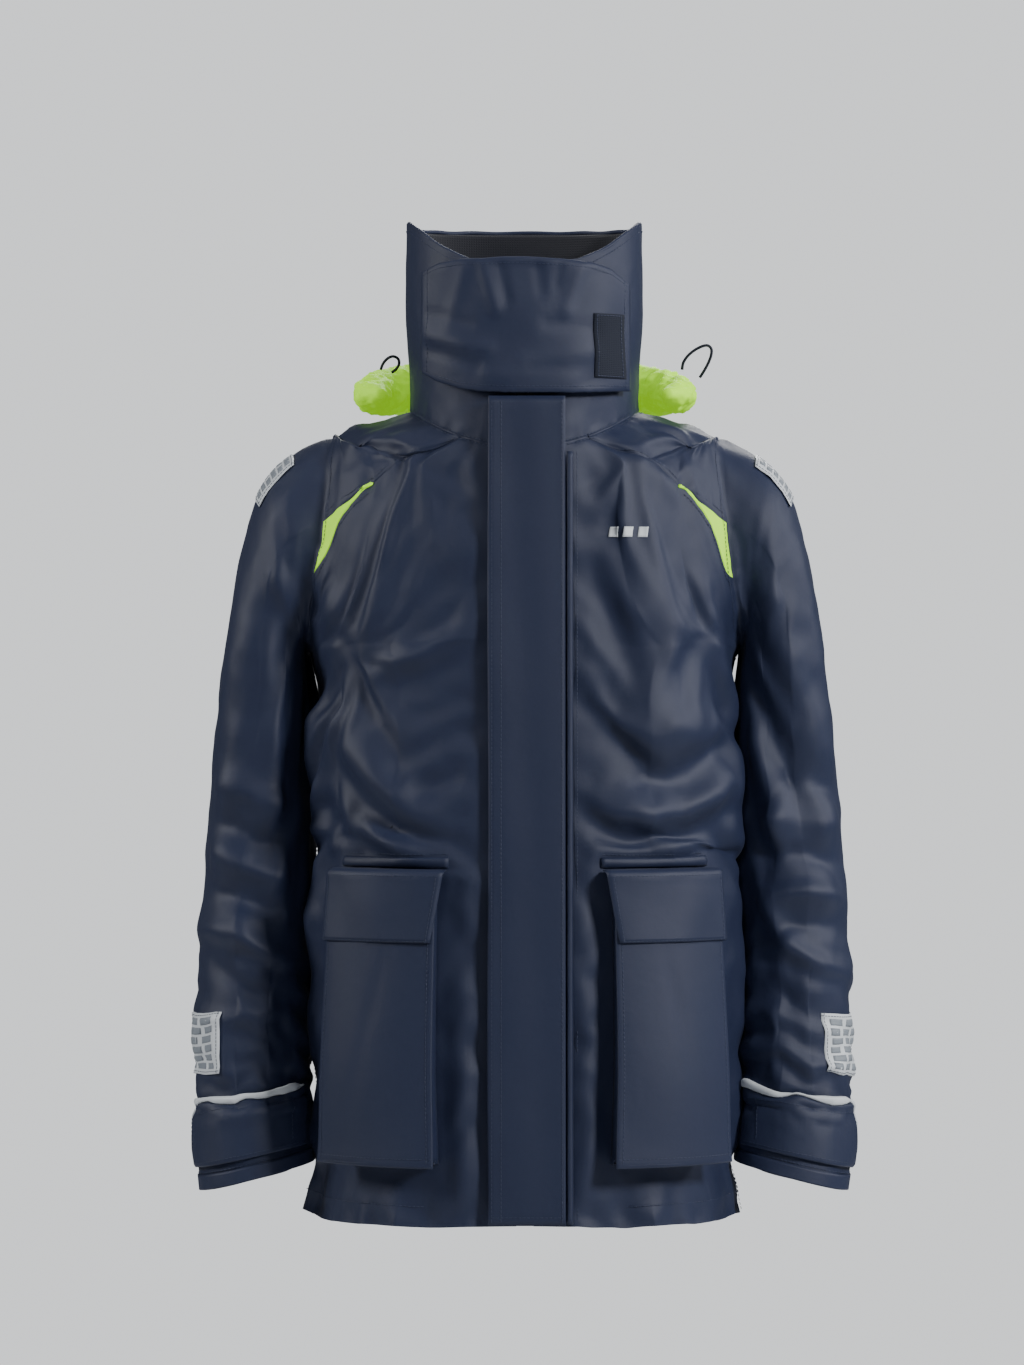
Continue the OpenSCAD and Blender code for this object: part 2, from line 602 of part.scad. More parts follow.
cuff_tab(-1);  // cuff_tab_right
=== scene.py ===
"""Looks for the foul weather jacket. Lengths in the shape code are millimetres in the row frame."""

import math

import bmesh
import bpy
import numpy as np
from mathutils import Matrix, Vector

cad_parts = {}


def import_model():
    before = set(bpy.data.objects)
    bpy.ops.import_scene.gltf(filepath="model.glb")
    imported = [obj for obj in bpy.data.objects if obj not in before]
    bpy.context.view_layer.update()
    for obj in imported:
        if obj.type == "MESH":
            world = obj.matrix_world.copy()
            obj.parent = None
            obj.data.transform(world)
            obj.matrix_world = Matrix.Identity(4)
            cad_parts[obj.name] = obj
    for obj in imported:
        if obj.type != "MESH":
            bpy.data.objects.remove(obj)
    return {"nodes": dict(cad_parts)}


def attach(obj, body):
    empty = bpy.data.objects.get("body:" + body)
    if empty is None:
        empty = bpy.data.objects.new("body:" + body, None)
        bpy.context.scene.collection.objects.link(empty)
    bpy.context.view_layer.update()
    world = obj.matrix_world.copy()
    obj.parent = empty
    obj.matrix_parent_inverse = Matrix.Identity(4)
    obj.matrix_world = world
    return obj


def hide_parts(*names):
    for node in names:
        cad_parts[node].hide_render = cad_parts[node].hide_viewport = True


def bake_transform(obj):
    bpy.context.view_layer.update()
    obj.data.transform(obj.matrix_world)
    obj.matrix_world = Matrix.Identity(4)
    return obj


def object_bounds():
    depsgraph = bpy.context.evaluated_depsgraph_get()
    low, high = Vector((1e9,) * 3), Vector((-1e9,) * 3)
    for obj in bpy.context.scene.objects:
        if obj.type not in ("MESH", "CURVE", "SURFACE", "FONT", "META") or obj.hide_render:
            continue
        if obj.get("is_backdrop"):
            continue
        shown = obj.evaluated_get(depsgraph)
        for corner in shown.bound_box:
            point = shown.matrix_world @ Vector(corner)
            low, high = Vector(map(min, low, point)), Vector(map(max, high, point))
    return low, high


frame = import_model()
cad_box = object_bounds()
SIDES = {"left": 1, "right": -1}

# ---- camera, light and floor ---------------------------------------------------------------------------
scene = bpy.context.scene
camera = bpy.data.objects.new("camera", bpy.data.cameras.new("camera"))
scene.collection.objects.link(camera)
camera.location = (-0.011, -4.0, -0.2275)
camera.rotation_euler = (math.radians(90), 0, 0)
camera.data.sensor_fit = "VERTICAL"
camera.data.sensor_height = 36
camera.data.lens = 36 * 4.0 / 1.2285
scene.camera = camera

world = bpy.data.worlds.new("studio")
scene.world = world
world.use_nodes = True
world.node_tree.nodes["Background"].inputs["Color"].default_value = (0.80, 0.82, 0.84, 1)
# The backdrop is bright to look at, but lights the cloth only a little, as in a large dark studio.
seen = world.node_tree.nodes.new("ShaderNodeLightPath")
glow = world.node_tree.nodes.new("ShaderNodeMapRange")
glow.inputs["To Min"].default_value = 0.075
glow.inputs["To Max"].default_value = 1.3
world.node_tree.links.new(seen.outputs["Is Camera Ray"], glow.inputs["Value"])
world.node_tree.links.new(glow.outputs["Result"], world.node_tree.nodes["Background"].inputs["Strength"])


def area_light(name, at, aim, size, power):
    light = bpy.data.lights.new(name, "AREA")
    light.energy, light.size = power, size
    obj = bpy.data.objects.new(name, light)
    scene.collection.objects.link(obj)
    obj.location = at
    way = np.array(aim, float) - np.array(at, float)
    obj.rotation_euler = (math.acos(-way[2] / np.linalg.norm(way)), 0, math.atan2(way[1], way[0]) - math.pi / 2)
    return obj


area_light("key", (2.5, -2.3, 1.3), (0, 0, -0.25), 0.7, 112)
area_light("front", (-0.7, -3.3, 1.7), (0, 0, -0.1), 0.8, 15)
area_light("side_left", (-2.7, -0.5, 0.9), (0, 0, -0.25), 0.9, 44)
area_light("side_right", (2.7, 0.3, 1.0), (0, 0, -0.25), 0.9, 34)
area_light("top", (-0.2, 0.3, 2.6), (0, 0, 0), 1.0, 13)
area_light("behind", (0.4, 3.2, 1.6), (0, 0, -0.2), 1.6, 60)

# ---- materials -----------------------------------------------------------------------------------------


def cloth_material(name, colour, rough, weave=0.55, depth=0.25, sheen=0.0, mottle=0.10, spec=0.4):
    """A woven cloth: crossed threads and soft puckers as bump, and faint mottling in the colour."""
    mat = bpy.data.materials.new(name)
    mat.use_nodes = True
    nodes, link = mat.node_tree.nodes, mat.node_tree.links.new
    shader = nodes["Principled BSDF"]

    def node(kind, output, wires, values, **options):
        made = nodes.new("ShaderNode" + kind)
        for key, value in options.items():
            setattr(made, key, value)
        for key, value in values.items():
            made.inputs[key].default_value = value
        for key, source in wires.items():
            link(source, made.inputs[key])
        return made.outputs[output]

    def noise(scale, detail):
        return node("TexNoise", "Fac", place, {"Scale": scale, "Detail": detail})

    def threads(direction):
        return node("TexWave", "Fac", place, {"Scale": 1000 * 0.314 / weave, "Distortion": 0.6},
                    bands_direction=direction)

    place = {"Vector": node("TexCoord", "Object", {}, {})}
    dark = tuple(c * (1 - 1.6 * mottle) for c in colour)
    light = tuple(min(1, c * (1 + 1.6 * mottle)) for c in colour)
    both = node("Math", 0, {0: noise(9, 5), 1: noise(420, 2)}, {}, operation="ADD")
    share = node("Math", 0, {0: both}, {1: 0.5}, operation="MULTIPLY")
    shade = node("Mix", "Result", {"Factor": share}, {"A": (*dark, 1), "B": (*light, 1)}, data_type="RGBA")
    cross = node("Math", 0, {0: threads("X"), 1: threads("Z")}, {}, operation="MULTIPLY")
    woven = node("Bump", "Normal", {"Height": cross}, {"Strength": depth, "Distance": 0.0003})
    pucker = node("Bump", "Normal", {"Height": noise(60, 4), "Normal": woven}, {"Strength": 0.25, "Distance": 0.0012})
    link(shade, shader.inputs["Base Color"])
    link(pucker, shader.inputs["Normal"])
    values = {"Roughness": rough, "Specular IOR Level": spec}
    if sheen:
        values.update({"Sheen Weight": sheen, "Sheen Roughness": 0.5})
    for key, value in values.items():
        shader.inputs[key].default_value = value
    return mat


NAVY = cloth_material("navy_cloth", (0.0150, 0.0225, 0.058), 0.52, sheen=0.02)
LINING = cloth_material("lining_cloth", (0.010, 0.013, 0.030), 0.8, weave=1.4, depth=0.5)
FLEECE = cloth_material("fleece", (0.012, 0.013, 0.020), 0.95, weave=2.2, depth=0.9, sheen=0.3)
LIME = cloth_material("lime_cloth", (0.5, 0.98, 0.035), 0.6, mottle=0.05, spec=0.25)
# Painted glow: the bright cloth emits a little light of its own, whatever the lamps do, so that it looks as bright as
# fluorescent dye.
lime_shader = LIME.node_tree.nodes["Principled BSDF"]
lime_shader.inputs["Emission Color"].default_value = (0.42, 0.95, 0.012, 1)
lime_shader.inputs["Emission Strength"].default_value = 0.5
SILVER = cloth_material("reflective_cloth", (0.70, 0.74, 0.78), 0.42, weave=0.8, mottle=0.04)
GREY = cloth_material("reflective_blocks", (0.26, 0.29, 0.33), 0.5, weave=0.8, mottle=0.05)
TAPE = cloth_material("hook_tape", (0.012, 0.016, 0.030), 0.85, weave=1.6, depth=1.0)
THREAD = cloth_material("thread", (0.026, 0.036, 0.080), 0.5)
ELASTIC = cloth_material("elastic_cord", (0.010, 0.014, 0.028), 0.6, weave=0.9, depth=0.8)
PLASTIC = cloth_material("moulded_plastic", (0.012, 0.013, 0.016), 0.35, depth=0.05)
FINISH = {"navy_shell": NAVY, "dark_lining": LINING, "black_fleece": FLEECE, "lime_shell": LIME,
          "reflective": SILVER, "black_tape": TAPE, "zip_plastic": PLASTIC, "elastic": ELASTIC}

# ---- the body's and the sleeve's surface, with the rows that the CAD has -------------------------------
LENGTH, CHEST, FLARE, LEAN, NECK, TOP = 696.0, 181.0, 23.0, 0.05, 102.0, 182.0
BODY = np.array([
    [-LENGTH, -LENGTH, -LENGTH, CHEST + FLARE, -14, 138, 2.5],
    [-0.94 * LENGTH, -0.94 * LENGTH, -0.94 * LENGTH, CHEST + 6, -14, 134, 2.5],
    [-0.8 * LENGTH, -0.8 * LENGTH, -0.8 * LENGTH, CHEST + 5, -14, 128, 2.6],
    [-0.64 * LENGTH, -0.64 * LENGTH, -0.64 * LENGTH, CHEST + 3, -12, 124, 2.6],
    [-0.48 * LENGTH, -0.48 * LENGTH, -0.48 * LENGTH, CHEST, -8, 130, 2.6],
    [-0.34 * LENGTH, -0.34 * LENGTH, -0.34 * LENGTH, CHEST - 1, -2, 143, 2.5],
    [-190, -192, -188, 200, 5, 150, 2.4], [-162, -158, -158, 196, 5, 151, 2.3],
    [-96, -118, -100, 186, 5, 148, 2.2], [-30, -84, -42, 176, 5, 138, 2.1],
    [-1, -52, 0, 172, 5, 118, 2.0], [14, -23, 34, NECK, -20, 86, 2.2]])
COLLAR = np.array([
    [14, -23, 34, NECK, -20, 86, 2.2], [52, 20, 72, NECK + 1, -20, 84, 2.3],
    [104, 66, 118, NECK + 4, -22, 86, 2.4], [TOP, 134, TOP + 4, NECK + 3, -22, 92, 2.4],
    [TOP + 44, 184, TOP + 50, NECK + 2, -22, 94, 2.4]])
SLEEVE = np.array([
    [200, -190, 172, -1, 5, 75], [200, -192, 205, -15, 6, 78], [199.5, -195, 232, -38, 7, 79],
    [198.5, -199, 247, -66, 8, 78], [197, -205, 256, -100, 9, 76], [194.5, -214, 264, -145, 10, 74],
    [191, -230, 270, -190, 11, 73], [187.5, -257, 277, -247, 12, 72], [187, -302, 282, -307, 12, 70],
    [189, -363, 287, -369, 8, 68], [190, -420, 290, -420, 2, 66], [191, -466, 292, -472, -6, 64],
    [192, -520, 293, -537, -16, 60], [193, -580, 293, -598, -27, 56], [193, -624, 291, -646, -36, 53],
    [191, -652, 287, -678, -42, 51]], float)


def row_at(rows, v):
    """One Catmull-Rom step between table rows."""
    last = len(rows) - 1
    i = int(max(0, min(last - 1, math.floor(v))))
    t = v - i
    a, b, c, e = rows[max(0, i - 1)], rows[i], rows[i + 1], rows[min(last, i + 2)]
    return 0.5 * (2 * b + (c - a) * t + (2 * a - 5 * b + 4 * c - e) * t * t + (3 * b - a - 3 * c + e) * t ** 3)


def power(x, p):
    return math.copysign(abs(x) ** p, x)


def front_y(z):
    return -137.5 + LEAN * z


def armhole(v):
    """(side x, side z, gap) of the armhole at row v."""
    q = math.pi * (v - 6) / 4
    h = (1 - math.cos(q)) / 2
    return 200 - 28 * h, -190 + 189 * h, 75 * math.sin(q)


def span_of(rows, v, face=1):
    """The table's row at v, its half width and depth, and the angle from its centre to its side."""
    row = row_at(rows, v)
    side_x, side_z, gap = armhole(v) if rows is BODY and 6 < v < 10 else (row[3], row[0], 0)
    depth = row[4] - front_y(row[1]) if face > 0 else row[5] - row[4]
    last = math.acos((gap / depth) ** (row[6] / 2)) if gap else math.pi / 2
    return row, side_x / math.sin(last) ** (2 / row[6]), depth, last, side_z


def ring(rows, s, v, face):
    row, wide, depth, last, side_z = span_of(rows, v, face)
    f = s * last
    return (wide * power(math.sin(f), 2 / row[6]), row[4] - face * depth * power(math.cos(f), 2 / row[6]),
            side_z + ((row[1] if face > 0 else row[2]) - side_z) * math.cos(math.pi / 2 * s) ** 2)


def body_point(s, v, face):
    return ring(BODY, s, v, face)


def collar_point(s, v, face):
    return ring(COLLAR, s, v, face)


def s_at_x(x, v, rows=BODY):
    """How far round a row the point at x is, from 0 at the centre to 1 at the side."""
    row, wide, _, last, _ = span_of(rows, v)
    return math.asin((x / wide) ** (row[6] / 2)) / last


def sleeve_point(turn, v):
    r = row_at(SLEEVE, v)
    n = 2.0 + 0.2 * min(1, v / 2)
    c, e = power(math.cos(math.radians(turn)), 2 / n), power(math.sin(math.radians(turn)), 2 / n)
    return (0.6 + (r[0] + r[2]) / 2 + c * (r[2] - r[0]) / 2, r[4] - e * r[5],
            (r[1] + r[3]) / 2 + c * (r[3] - r[1]) / 2)


# ---- the shell as one welded mesh of grids -------------------------------------------------------------
YOKE = ([0, 0.34, 0.376, 0.491, 0.661, 0.8, 0.953, 1], [11, 11, 10.318, 9.71, 8.876, 8.53, 8.295, 8.25])
INSERT = ([0.665, 0.795, 0.872, 0.896, 0.93, 0.948, 1], [8.866, 8.492, 8.276, 8.102, 7.84, 7.70, 7.62])
BACK_YOKE = 8.6


def yoke_v(s):
    return float(np.interp(s, *YOKE))


def insert_v(s):
    return yoke_v(s) if s <= 0.665 else min(yoke_v(s), float(np.interp(s, *INSERT)))


def eased(count, near=0.25):
    """Fractions 0 to 1, with the first and last steps shorter."""
    f = np.linspace(0, 1, count + 1)
    f[1:-1] = np.linspace(0, 1, count - 1) * (1 - 2 * near / count) + near / count
    return f


HEM_ROWS = np.interp(np.linspace(-LENGTH, -190, 62), BODY[:7, 0], np.arange(7))
COLUMNS = np.array(sorted(set(np.linspace(0.06, 1, 34).tolist() + [0.34, 0.665])))


def bands(ends, counts):
    out = [np.array([ends[0]])]
    for low, high, count in zip(ends[:-1], ends[1:], counts):
        out.append(low + (high - low) * eased(count)[1:])
    return np.concatenate(out)


def front_rows(s):
    y = yoke_v(s)
    return np.concatenate([HEM_ROWS, bands([6, insert_v(s), y, max(10, y), 11], [20, 8, 10, 8])[1:]])


def back_rows():
    return np.concatenate([HEM_ROWS, bands([6, BACK_YOKE, 10, 11], [18, 12, 8])[1:]])


class Grid:
    """Rows by columns of points with their own coordinates, which can be looked up between the points."""

    def __init__(self, cols, rows_of, point):
        self.cols = np.array(cols, float)
        self.v = np.array([rows_of(c) for c in cols]).T
        self.p = np.array([[point(c, v) for c, v in zip(cols, line)] for line in self.v])
        self.flat = self.p.copy()

    def column(self, c):
        j = float(np.interp(c, self.cols, np.arange(len(self.cols))))
        i = min(int(j), len(self.cols) - 2)
        return i, j - i

    def look(self, c, v):
        i, t = self.column(c)
        line = self.p[:, i] * (1 - t) + self.p[:, i + 1] * t
        rows = self.v[:, i] * (1 - t) + self.v[:, i + 1] * t
        return np.array([np.interp(v, rows, line[:, k]) for k in range(3)])

    def at(self, c, v, d=0.0, step=0.01):
        """The point a distance d outside the surface."""
        p = self.look(c, v)
        if not d:
            return p
        near = step * (self.cols[-1] - self.cols[0])
        across = self.look(min(c + near, self.cols[-1]), v) - self.look(max(c - near, self.cols[0]), v)
        along = self.look(c, min(v + 0.06, self.v[-1, 0])) - self.look(c, max(v - 0.06, self.v[0, 0]))
        n = np.cross(across, along)
        return p + d * n / np.linalg.norm(n)

    def flat_at(self, c, v, d):
        """The same on the surface before it was folded."""
        kept, self.p = self.p, self.flat
        out = self.at(c, v, d)
        self.p = kept
        return out


def mirror(p, side):
    return (p[0] * side, p[1], p[2])


def torso_column(c, v, face):
    """c runs 8 mm from the centre at 0 to the side seam at 1."""
    s0 = s_at_x(8, v) if face > 0 else 0
    return s0 + (1 - s0) * c


# Front grids run from the zip (0) to the side (1), the back from the right side (-1) to the left (1).
fronts, sleeves = {}, {}
for name, side in SIDES.items():
    cols = np.concatenate([[0], COLUMNS])
    fronts[name] = Grid(cols, front_rows, lambda c, v, k=side: mirror(
        body_point(torso_column(0, v, 1) if c == 0 else c, v, 1), k))
back_cols = np.concatenate([-COLUMNS[::-1], [0], COLUMNS])
back = Grid(back_cols, lambda c: back_rows(), lambda c, v: mirror(body_point(abs(c), v, -1), 1 if c >= 0 else -1))
SLEEVE_ROWS = np.concatenate([[0], np.linspace(0, 1, 4)[1:], np.linspace(1, 5, 17)[1:], np.linspace(5, 8, 16)[1:],
                              np.linspace(8, 15, 52)[1:]])
for name, side in SIDES.items():
    f, b = fronts[name], back
    front_v, back_v = f.v[:, -1], back.v[:, -1]
    front_hole = [i for i in range(len(front_v)) if 6 <= front_v[i] <= 10.0001]
    back_hole = [i for i in range(len(back_v)) if 6 <= back_v[i] <= 10.0001]
    edge = [f.p[i, -1] for i in front_hole[::-1]]
    turns = [180 - 45 * (front_v[i] - 6) for i in front_hole[::-1]]
    back_edge = b.p[:, -1] if side > 0 else b.p[:, 0]
    edge += [back_edge[i] for i in back_hole[1:]]
    turns += [180 + 45 * (back_v[i] - 6) for i in back_hole[1:]]
    sleeves[name] = Grid(turns, lambda c: SLEEVE_ROWS, lambda c, v, k=side: mirror(sleeve_point(c, v), k))
    sleeves[name].p[0] = sleeves[name].flat[0] = np.array(edge)
    shift = sleeves[name].p[0] - np.array([mirror(sleeve_point(t, 0), side) for t in turns])
    for row in (1, 2):
        sleeves[name].p[row] += (1 - row / 3) * shift
        sleeves[name].flat[row] = sleeves[name].p[row]
# The collar runs from the right front edge (-2) round the back (0) to the left front edge (2).
one_side = np.concatenate([[0], COLUMNS])
collar_cols = np.concatenate([-2 + one_side, -1 + (1 - COLUMNS[::-1])[1:], COLUMNS, (2 - one_side[::-1])[1:]])


def collar_rows(c):
    f = max(0.0, abs(c) - 1)
    top = 3.0 + 0.15 * max(0, (f - 0.7) / 0.3)
    return np.linspace(0, top, 27)


def collar_place(c, v):
    side = 1 if c >= 0 else -1
    if abs(c) >= 1:
        s = 2 - abs(c)
        s = s_at_x(8, v, COLLAR) if s < 1e-9 else s
        return mirror(collar_point(s, v, 1), side)
    return mirror(collar_point(abs(c), v, -1), side)


collar = Grid(collar_cols, collar_rows, collar_place)
GRIDS = {"front_left": fronts["left"], "front_right": fronts["right"], "back": back,
         "sleeve_left": sleeves["left"], "sleeve_right": sleeves["right"], "collar": collar}
OUT = {"front_left": 1, "front_right": -1, "back": -1, "sleeve_left": 1, "sleeve_right": -1, "collar": -1}
ARM_ROW = 35


def label(name, row):
    """The piece that a grid's row of faces belongs to."""
    if name.startswith("front"):
        side = name[6:]
        return ("front_panel_" if row < 81 else "chest_insert_" if row < 89 else "front_yoke_") + side
    if name == "back":
        return "back_panel" if row < 79 else "back_yoke"
    if name == "collar":
        return "collar_shell"
    return ("sleeve_cap_" if row < ARM_ROW else "sleeve_arm_") + name[7:]


LABELS = sorted({label(n, r) for n, g in GRIDS.items() for r in range(g.v.shape[0] - 1)})
points, where, faces, marks, places = [], {}, [], [], {}
for name, grid in GRIDS.items():
    ids = np.zeros(grid.v.shape, int)
    for i in range(grid.v.shape[0]):
        for j in range(grid.v.shape[1]):
            key = tuple(np.round(grid.p[i, j], 2))
            if key not in where:
                where[key] = len(points)
                points.append(grid.p[i, j])
            ids[i, j] = where[key]
    places[name] = ids
    for i in range(ids.shape[0] - 1):
        for j in range(ids.shape[1] - 1):
            loop = [ids[i, j], ids[i, j + 1], ids[i + 1, j + 1], ids[i + 1, j]]
            loop = [a for k, a in enumerate(loop) if a != loop[k - 1]]
            if len(set(loop)) > 2 and len(set(loop)) == len(loop):
                faces.append(loop if OUT[name] > 0 else loop[::-1])
                marks.append(LABELS.index(label(name, i)))
flat = np.array(points)


def new_mesh(name, verts, polys, scale=0.001):
    mesh = bpy.data.meshes.new(name)
    mesh.from_pydata((np.asarray(verts, float) * scale).tolist(), [], [list(map(int, f)) for f in polys])
    mesh.update()
    return mesh


def vertex_normals(verts, polys):
    mesh = new_mesh("scratch", verts, polys)
    out = np.zeros(len(verts) * 3)
    mesh.vertices.foreach_get("normal", out)
    bpy.data.meshes.remove(mesh)
    return out.reshape(-1, 3)


normals = vertex_normals(flat, faces)
member = {name: np.zeros(len(flat), bool) for name in GRIDS}
for name, ids in places.items():
    member[name][ids.ravel()] = True
torso = member["front_left"] | member["front_right"] | member["back"]
arms = (member["sleeve_left"] | member["sleeve_right"]) & ~torso

# ---- folds: ridges (+) and valleys (-) drawn as lines over the front view ------------------------------
# Each is (points in x and z, width, height); the torso's front, its back, and the front of each sleeve.
FRONT_FOLDS = [
    # the drape from the right armpit
    ([(-182, -205), (-140, -290), (-75, -345)], 17, 10), ([(-184, -240), (-145, -322), (-70, -368)], 11, -10),
    ([(-172, -275), (-120, -362), (-78, -380)], 12, 8), ([(-178, -320), (-150, -375)], 10, -7),
    ([(-205, -120), (-172, -185), (-158, -245)], 10, -7), ([(-192, -96), (-176, -165)], 10, 6),
    ([(-160, -150), (-150, -230), (-120, -300)], 16, -6), ([(-100, -60), (-110, -150), (-95, -240)], 26, 5),
    ([(-45, -40), (-60, -110)], 12, 3), ([(-38, -230), (-60, -300), (-110, -330)], 14, -5),
    ([(-176, -360), (-120, -395), (-60, -400)], 9, -4),
    # the drape from the left armpit
    ([(195, -190), (150, -245), (72, -280)], 18, 9), ([(198, -232), (150, -288), (62, -306)], 12, -9),
    ([(190, -278), (140, -324), (60, -333)], 12, 8), ([(186, -322), (122, -356), (60, -356)], 9, -7),
    ([(182, -358), (110, -378)], 9, 5), ([(160, -120), (188, -170), (196, -200)], 10, -7),
    ([(150, -110), (174, -170), (184, -230)], 12, 5), ([(70, -40), (100, -120), (96, -210)], 26, 5),
    ([(46, -10), (104, -36), (158, -80)], 12, 3), ([(120, -150), (90, -215), (58, -235)], 16, -5),
    # under the collar
    ([(-70, -14), (-40, -42), (-42, -75)], 7, 3), ([(-60, -30), (-50, -64)], 6, -3), ([(48, -22), (60, -60)], 7, -3),
    # the skirt
    ([(-58, -470), (-54, -580), (-60, -696)], 16, 5), ([(-40, -520), (-40, -690)], 11, -4),
    ([(52, -480), (58, -590), (54, -696)], 14, 5), ([(180, -560), (190, -696)], 14, 6),
    ([(-182, -560), (-190, -696)], 14, 6),
    ([(-120, -655), (-125, -696)], 16, 4), ([(120, -655), (116, -696)], 16, 4), ([(88, -650), (90, -696)], 9, -4),
    ([(-90, -652), (-92, -696)], 9, -4)]
BACK_FOLDS = [
    ([(-185, -200), (-120, -262), (-40, -300)], 18, 9), ([(-184, -245), (-110, -310), (-20, -335)], 13, -8),
    ([(185, -205), (118, -270), (44, -310)], 18, 9), ([(184, -250), (106, -318), (10, -342)], 13, -8),
    ([(-176, -300), (-90, -362), (20, -378)], 13, 7), ([(176, -306), (96, -372), (-10, -400)], 12, 7),
    ([(-170, -360), (-70, -410), (60, -420)], 12, -7), ([(170, -370), (84, -424), (-40, -446)], 11, -6),
    ([(-150, -90), (-110, -170), (-60, -230)], 20, 6), ([(150, -92), (112, -176), (66, -236)], 20, 6),
    ([(-120, -430), (-112, -560), (-118, -696)], 20, 8), ([(-60, -450), (-66, -560), (-58, -696)], 17, -7),
    ([(0, -460), (4, -580), (-2, -696)], 20, 7), ([(58, -455), (62, -580), (56, -696)], 17, -7),
    ([(116, -440), (110, -580), (120, -696)], 20, 8), ([(165, -480), (170, -696)], 15, -6),
    ([(-165, -480), (-170, -696)], 15, -6)]
ARM_FOLDS = {"right": [
    ([(-246, -110), (-262, -240), (-270, -370)], 14, 6), ([(-222, -150), (-206, -260), (-206, -340)], 13, -7),
    ([(-215, -90), (-232, -170), (-240, -250)], 12, 5), ([(-276, -300), (-240, -318), (-210, -325)], 10, 7),
    ([(-282, -330), (-244, -352), (-204, -356)], 9, -8), ([(-282, -356), (-240, -382), (-202, -388)], 9, 7),
    ([(-284, -392), (-250, -408), (-206, -416)], 9, -7), ([(-286, -430), (-244, -446), (-204, -470)], 11, 6),
    ([(-286, -452), (-252, -480), (-222, -494)], 9, -6), ([(-262, -396), (-236, -470), (-214, -560)], 10, 5),
    ([(-240, -480), (-222, -540), (-214, -585)], 8, -5), ([(-274, -500), (-262, -580)], 10, 4)],
    "left": [
    ([(216, -118), (240, -190), (262, -290)], 14, 7), ([(200, -190), (236, -290), (258, -350)], 12, -7),
    ([(252, -100), (268, -220), (276, -330)], 12, 4), ([(204, -250), (222, -330), (226, -380)], 12, 6),
    ([(284, -320), (250, -300), (214, -322)], 9, -6), ([(286, -352), (246, -334), (206, -344)], 10, 7),
    ([(286, -380), (244, -366), (204, -372)], 9, -8), ([(286, -410), (246, -400), (206, -412)], 9, 7),
    ([(288, -438), (250, -428), (210, -446)], 9, -6), ([(212, -400), (240, -450), (286, -470)], 9, 6),
    ([(214, -468), (240, -502), (278, -512)], 10, -6), ([(216, -510), (244, -548), (270, -560)], 10, 5),
    ([(228, -420), (222, -520), (214, -590)], 9, 4)]}


def near(line, xz):
    """Distance from each point to a smooth line, and how far along it the closest place is."""
    line = np.array(line, float)
    t = np.linspace(0, len(line) - 1, 24)
    if len(line) == 3:
        u = t / 2
        bow = 2 * line[1] - (line[0] + line[2]) / 2
        line = np.outer((1 - u) ** 2, line[0]) + np.outer(2 * u * (1 - u), bow) + np.outer(u ** 2, line[2])
    else:
        line = np.outer(1 - t, line[0]) + np.outer(t, line[1])
    best = np.full(len(xz), 1e9)
    along = np.zeros(len(xz))
    for k in range(len(line) - 1):
        a, ab = line[k], line[k + 1] - line[k]
        h = np.clip(((xz - a) @ ab) / (ab @ ab), 0, 1)
        d = np.linalg.norm(xz - a - h[:, None] * ab, axis=1)
        closer = d < best
        best[closer], along[closer] = d[closer], (k + h[closer]) / (len(line) - 1)
    return best, along


def fold_heights(pts, nor, mask, folds, facing):
    out = np.zeros(len(pts))
    xz = pts[:, [0, 2]]
    front = np.clip(nor[:, 1] * facing * 2.2 + 0.25, 0, 1)
    for line, width, height in folds:
        d, along = near(line, xz)
        taper = np.clip(np.minimum(along, 1 - along) * 4 + 0.15, 0, 1)
        out += 1.3 * height * np.exp(-(d / width) ** 2) * taper
    return out * front * mask


lift = fold_heights(flat, normals, torso, FRONT_FOLDS, -1) + fold_heights(flat, normals, torso, BACK_FOLDS, 1)
for side, folds in ARM_FOLDS.items():
    own = member["sleeve_" + side] & ~torso
    lift += fold_heights(flat, normals, own, folds, -1)
    behind = [([(x, z - 14) for x, z in line], width * 1.1, height) for line, width, height in folds]
    lift += fold_heights(flat, normals, own, behind, 1)


def ripple(pts, scale, seed):
    """Smooth seeded waves that lean one way and another, about 1 high."""
    rng = np.random.default_rng(seed)
    out = np.zeros(len(pts))
    for _ in range(14):
        way = rng.normal(size=3) * (1, 1, 0.6)
        way /= np.linalg.norm(way) * scale * rng.uniform(0.7, 1.6)
        out += np.sin(pts @ way * 2 * math.pi + rng.uniform(0, 6.28) + 1.3 * np.sin(pts @ rng.normal(size=3) / scale))
    return out / 4


lift += ripple(flat, 85, 4) * 2.0 + ripple(flat, 38, 9) * 1.0
# The closure, the collar's seam and the cuffs are held; elsewhere the cloth is free.
x_abs = np.abs(flat[:, 0])
held = np.ones(len(flat))
held[torso] = np.clip((x_abs[torso] - 12) / 46, 0, 1) * 0.9 + 0.1
back_side = torso & (normals[:, 1] > 0)
held[back_side] = 1
held[torso & ~back_side & (x_abs < 40)] *= 0.5
neck_gap = np.min([np.linalg.norm(flat - flat[i], axis=1) for i in set(places["collar"][0].tolist())], axis=0)
held *= np.clip(neck_gap / 40, 0.1, 1)
cuff = member["sleeve_left"] | member["sleeve_right"]
held[cuff] *= np.clip((flat[cuff, 2] + 640) / 60, 0.25, 1)
in_collar = member["collar"] & ~torso
held[in_collar] = 0
# Pocket fields stay flat, because the pockets stand on them.
field = (np.clip((x_abs - 50) / 18, 0, 1) * np.clip((190 - x_abs) / 18, 0, 1) * np.clip((-364 - flat[:, 2]) / 22, 0, 1)
         * np.clip((flat[:, 2] + 692) / 30, 0, 1))
front_side = torso & (normals[:, 1] < 0)
held[front_side] *= 1 - 0.88 * field[front_side]
start = flat + normals * (lift * held)[:, None]


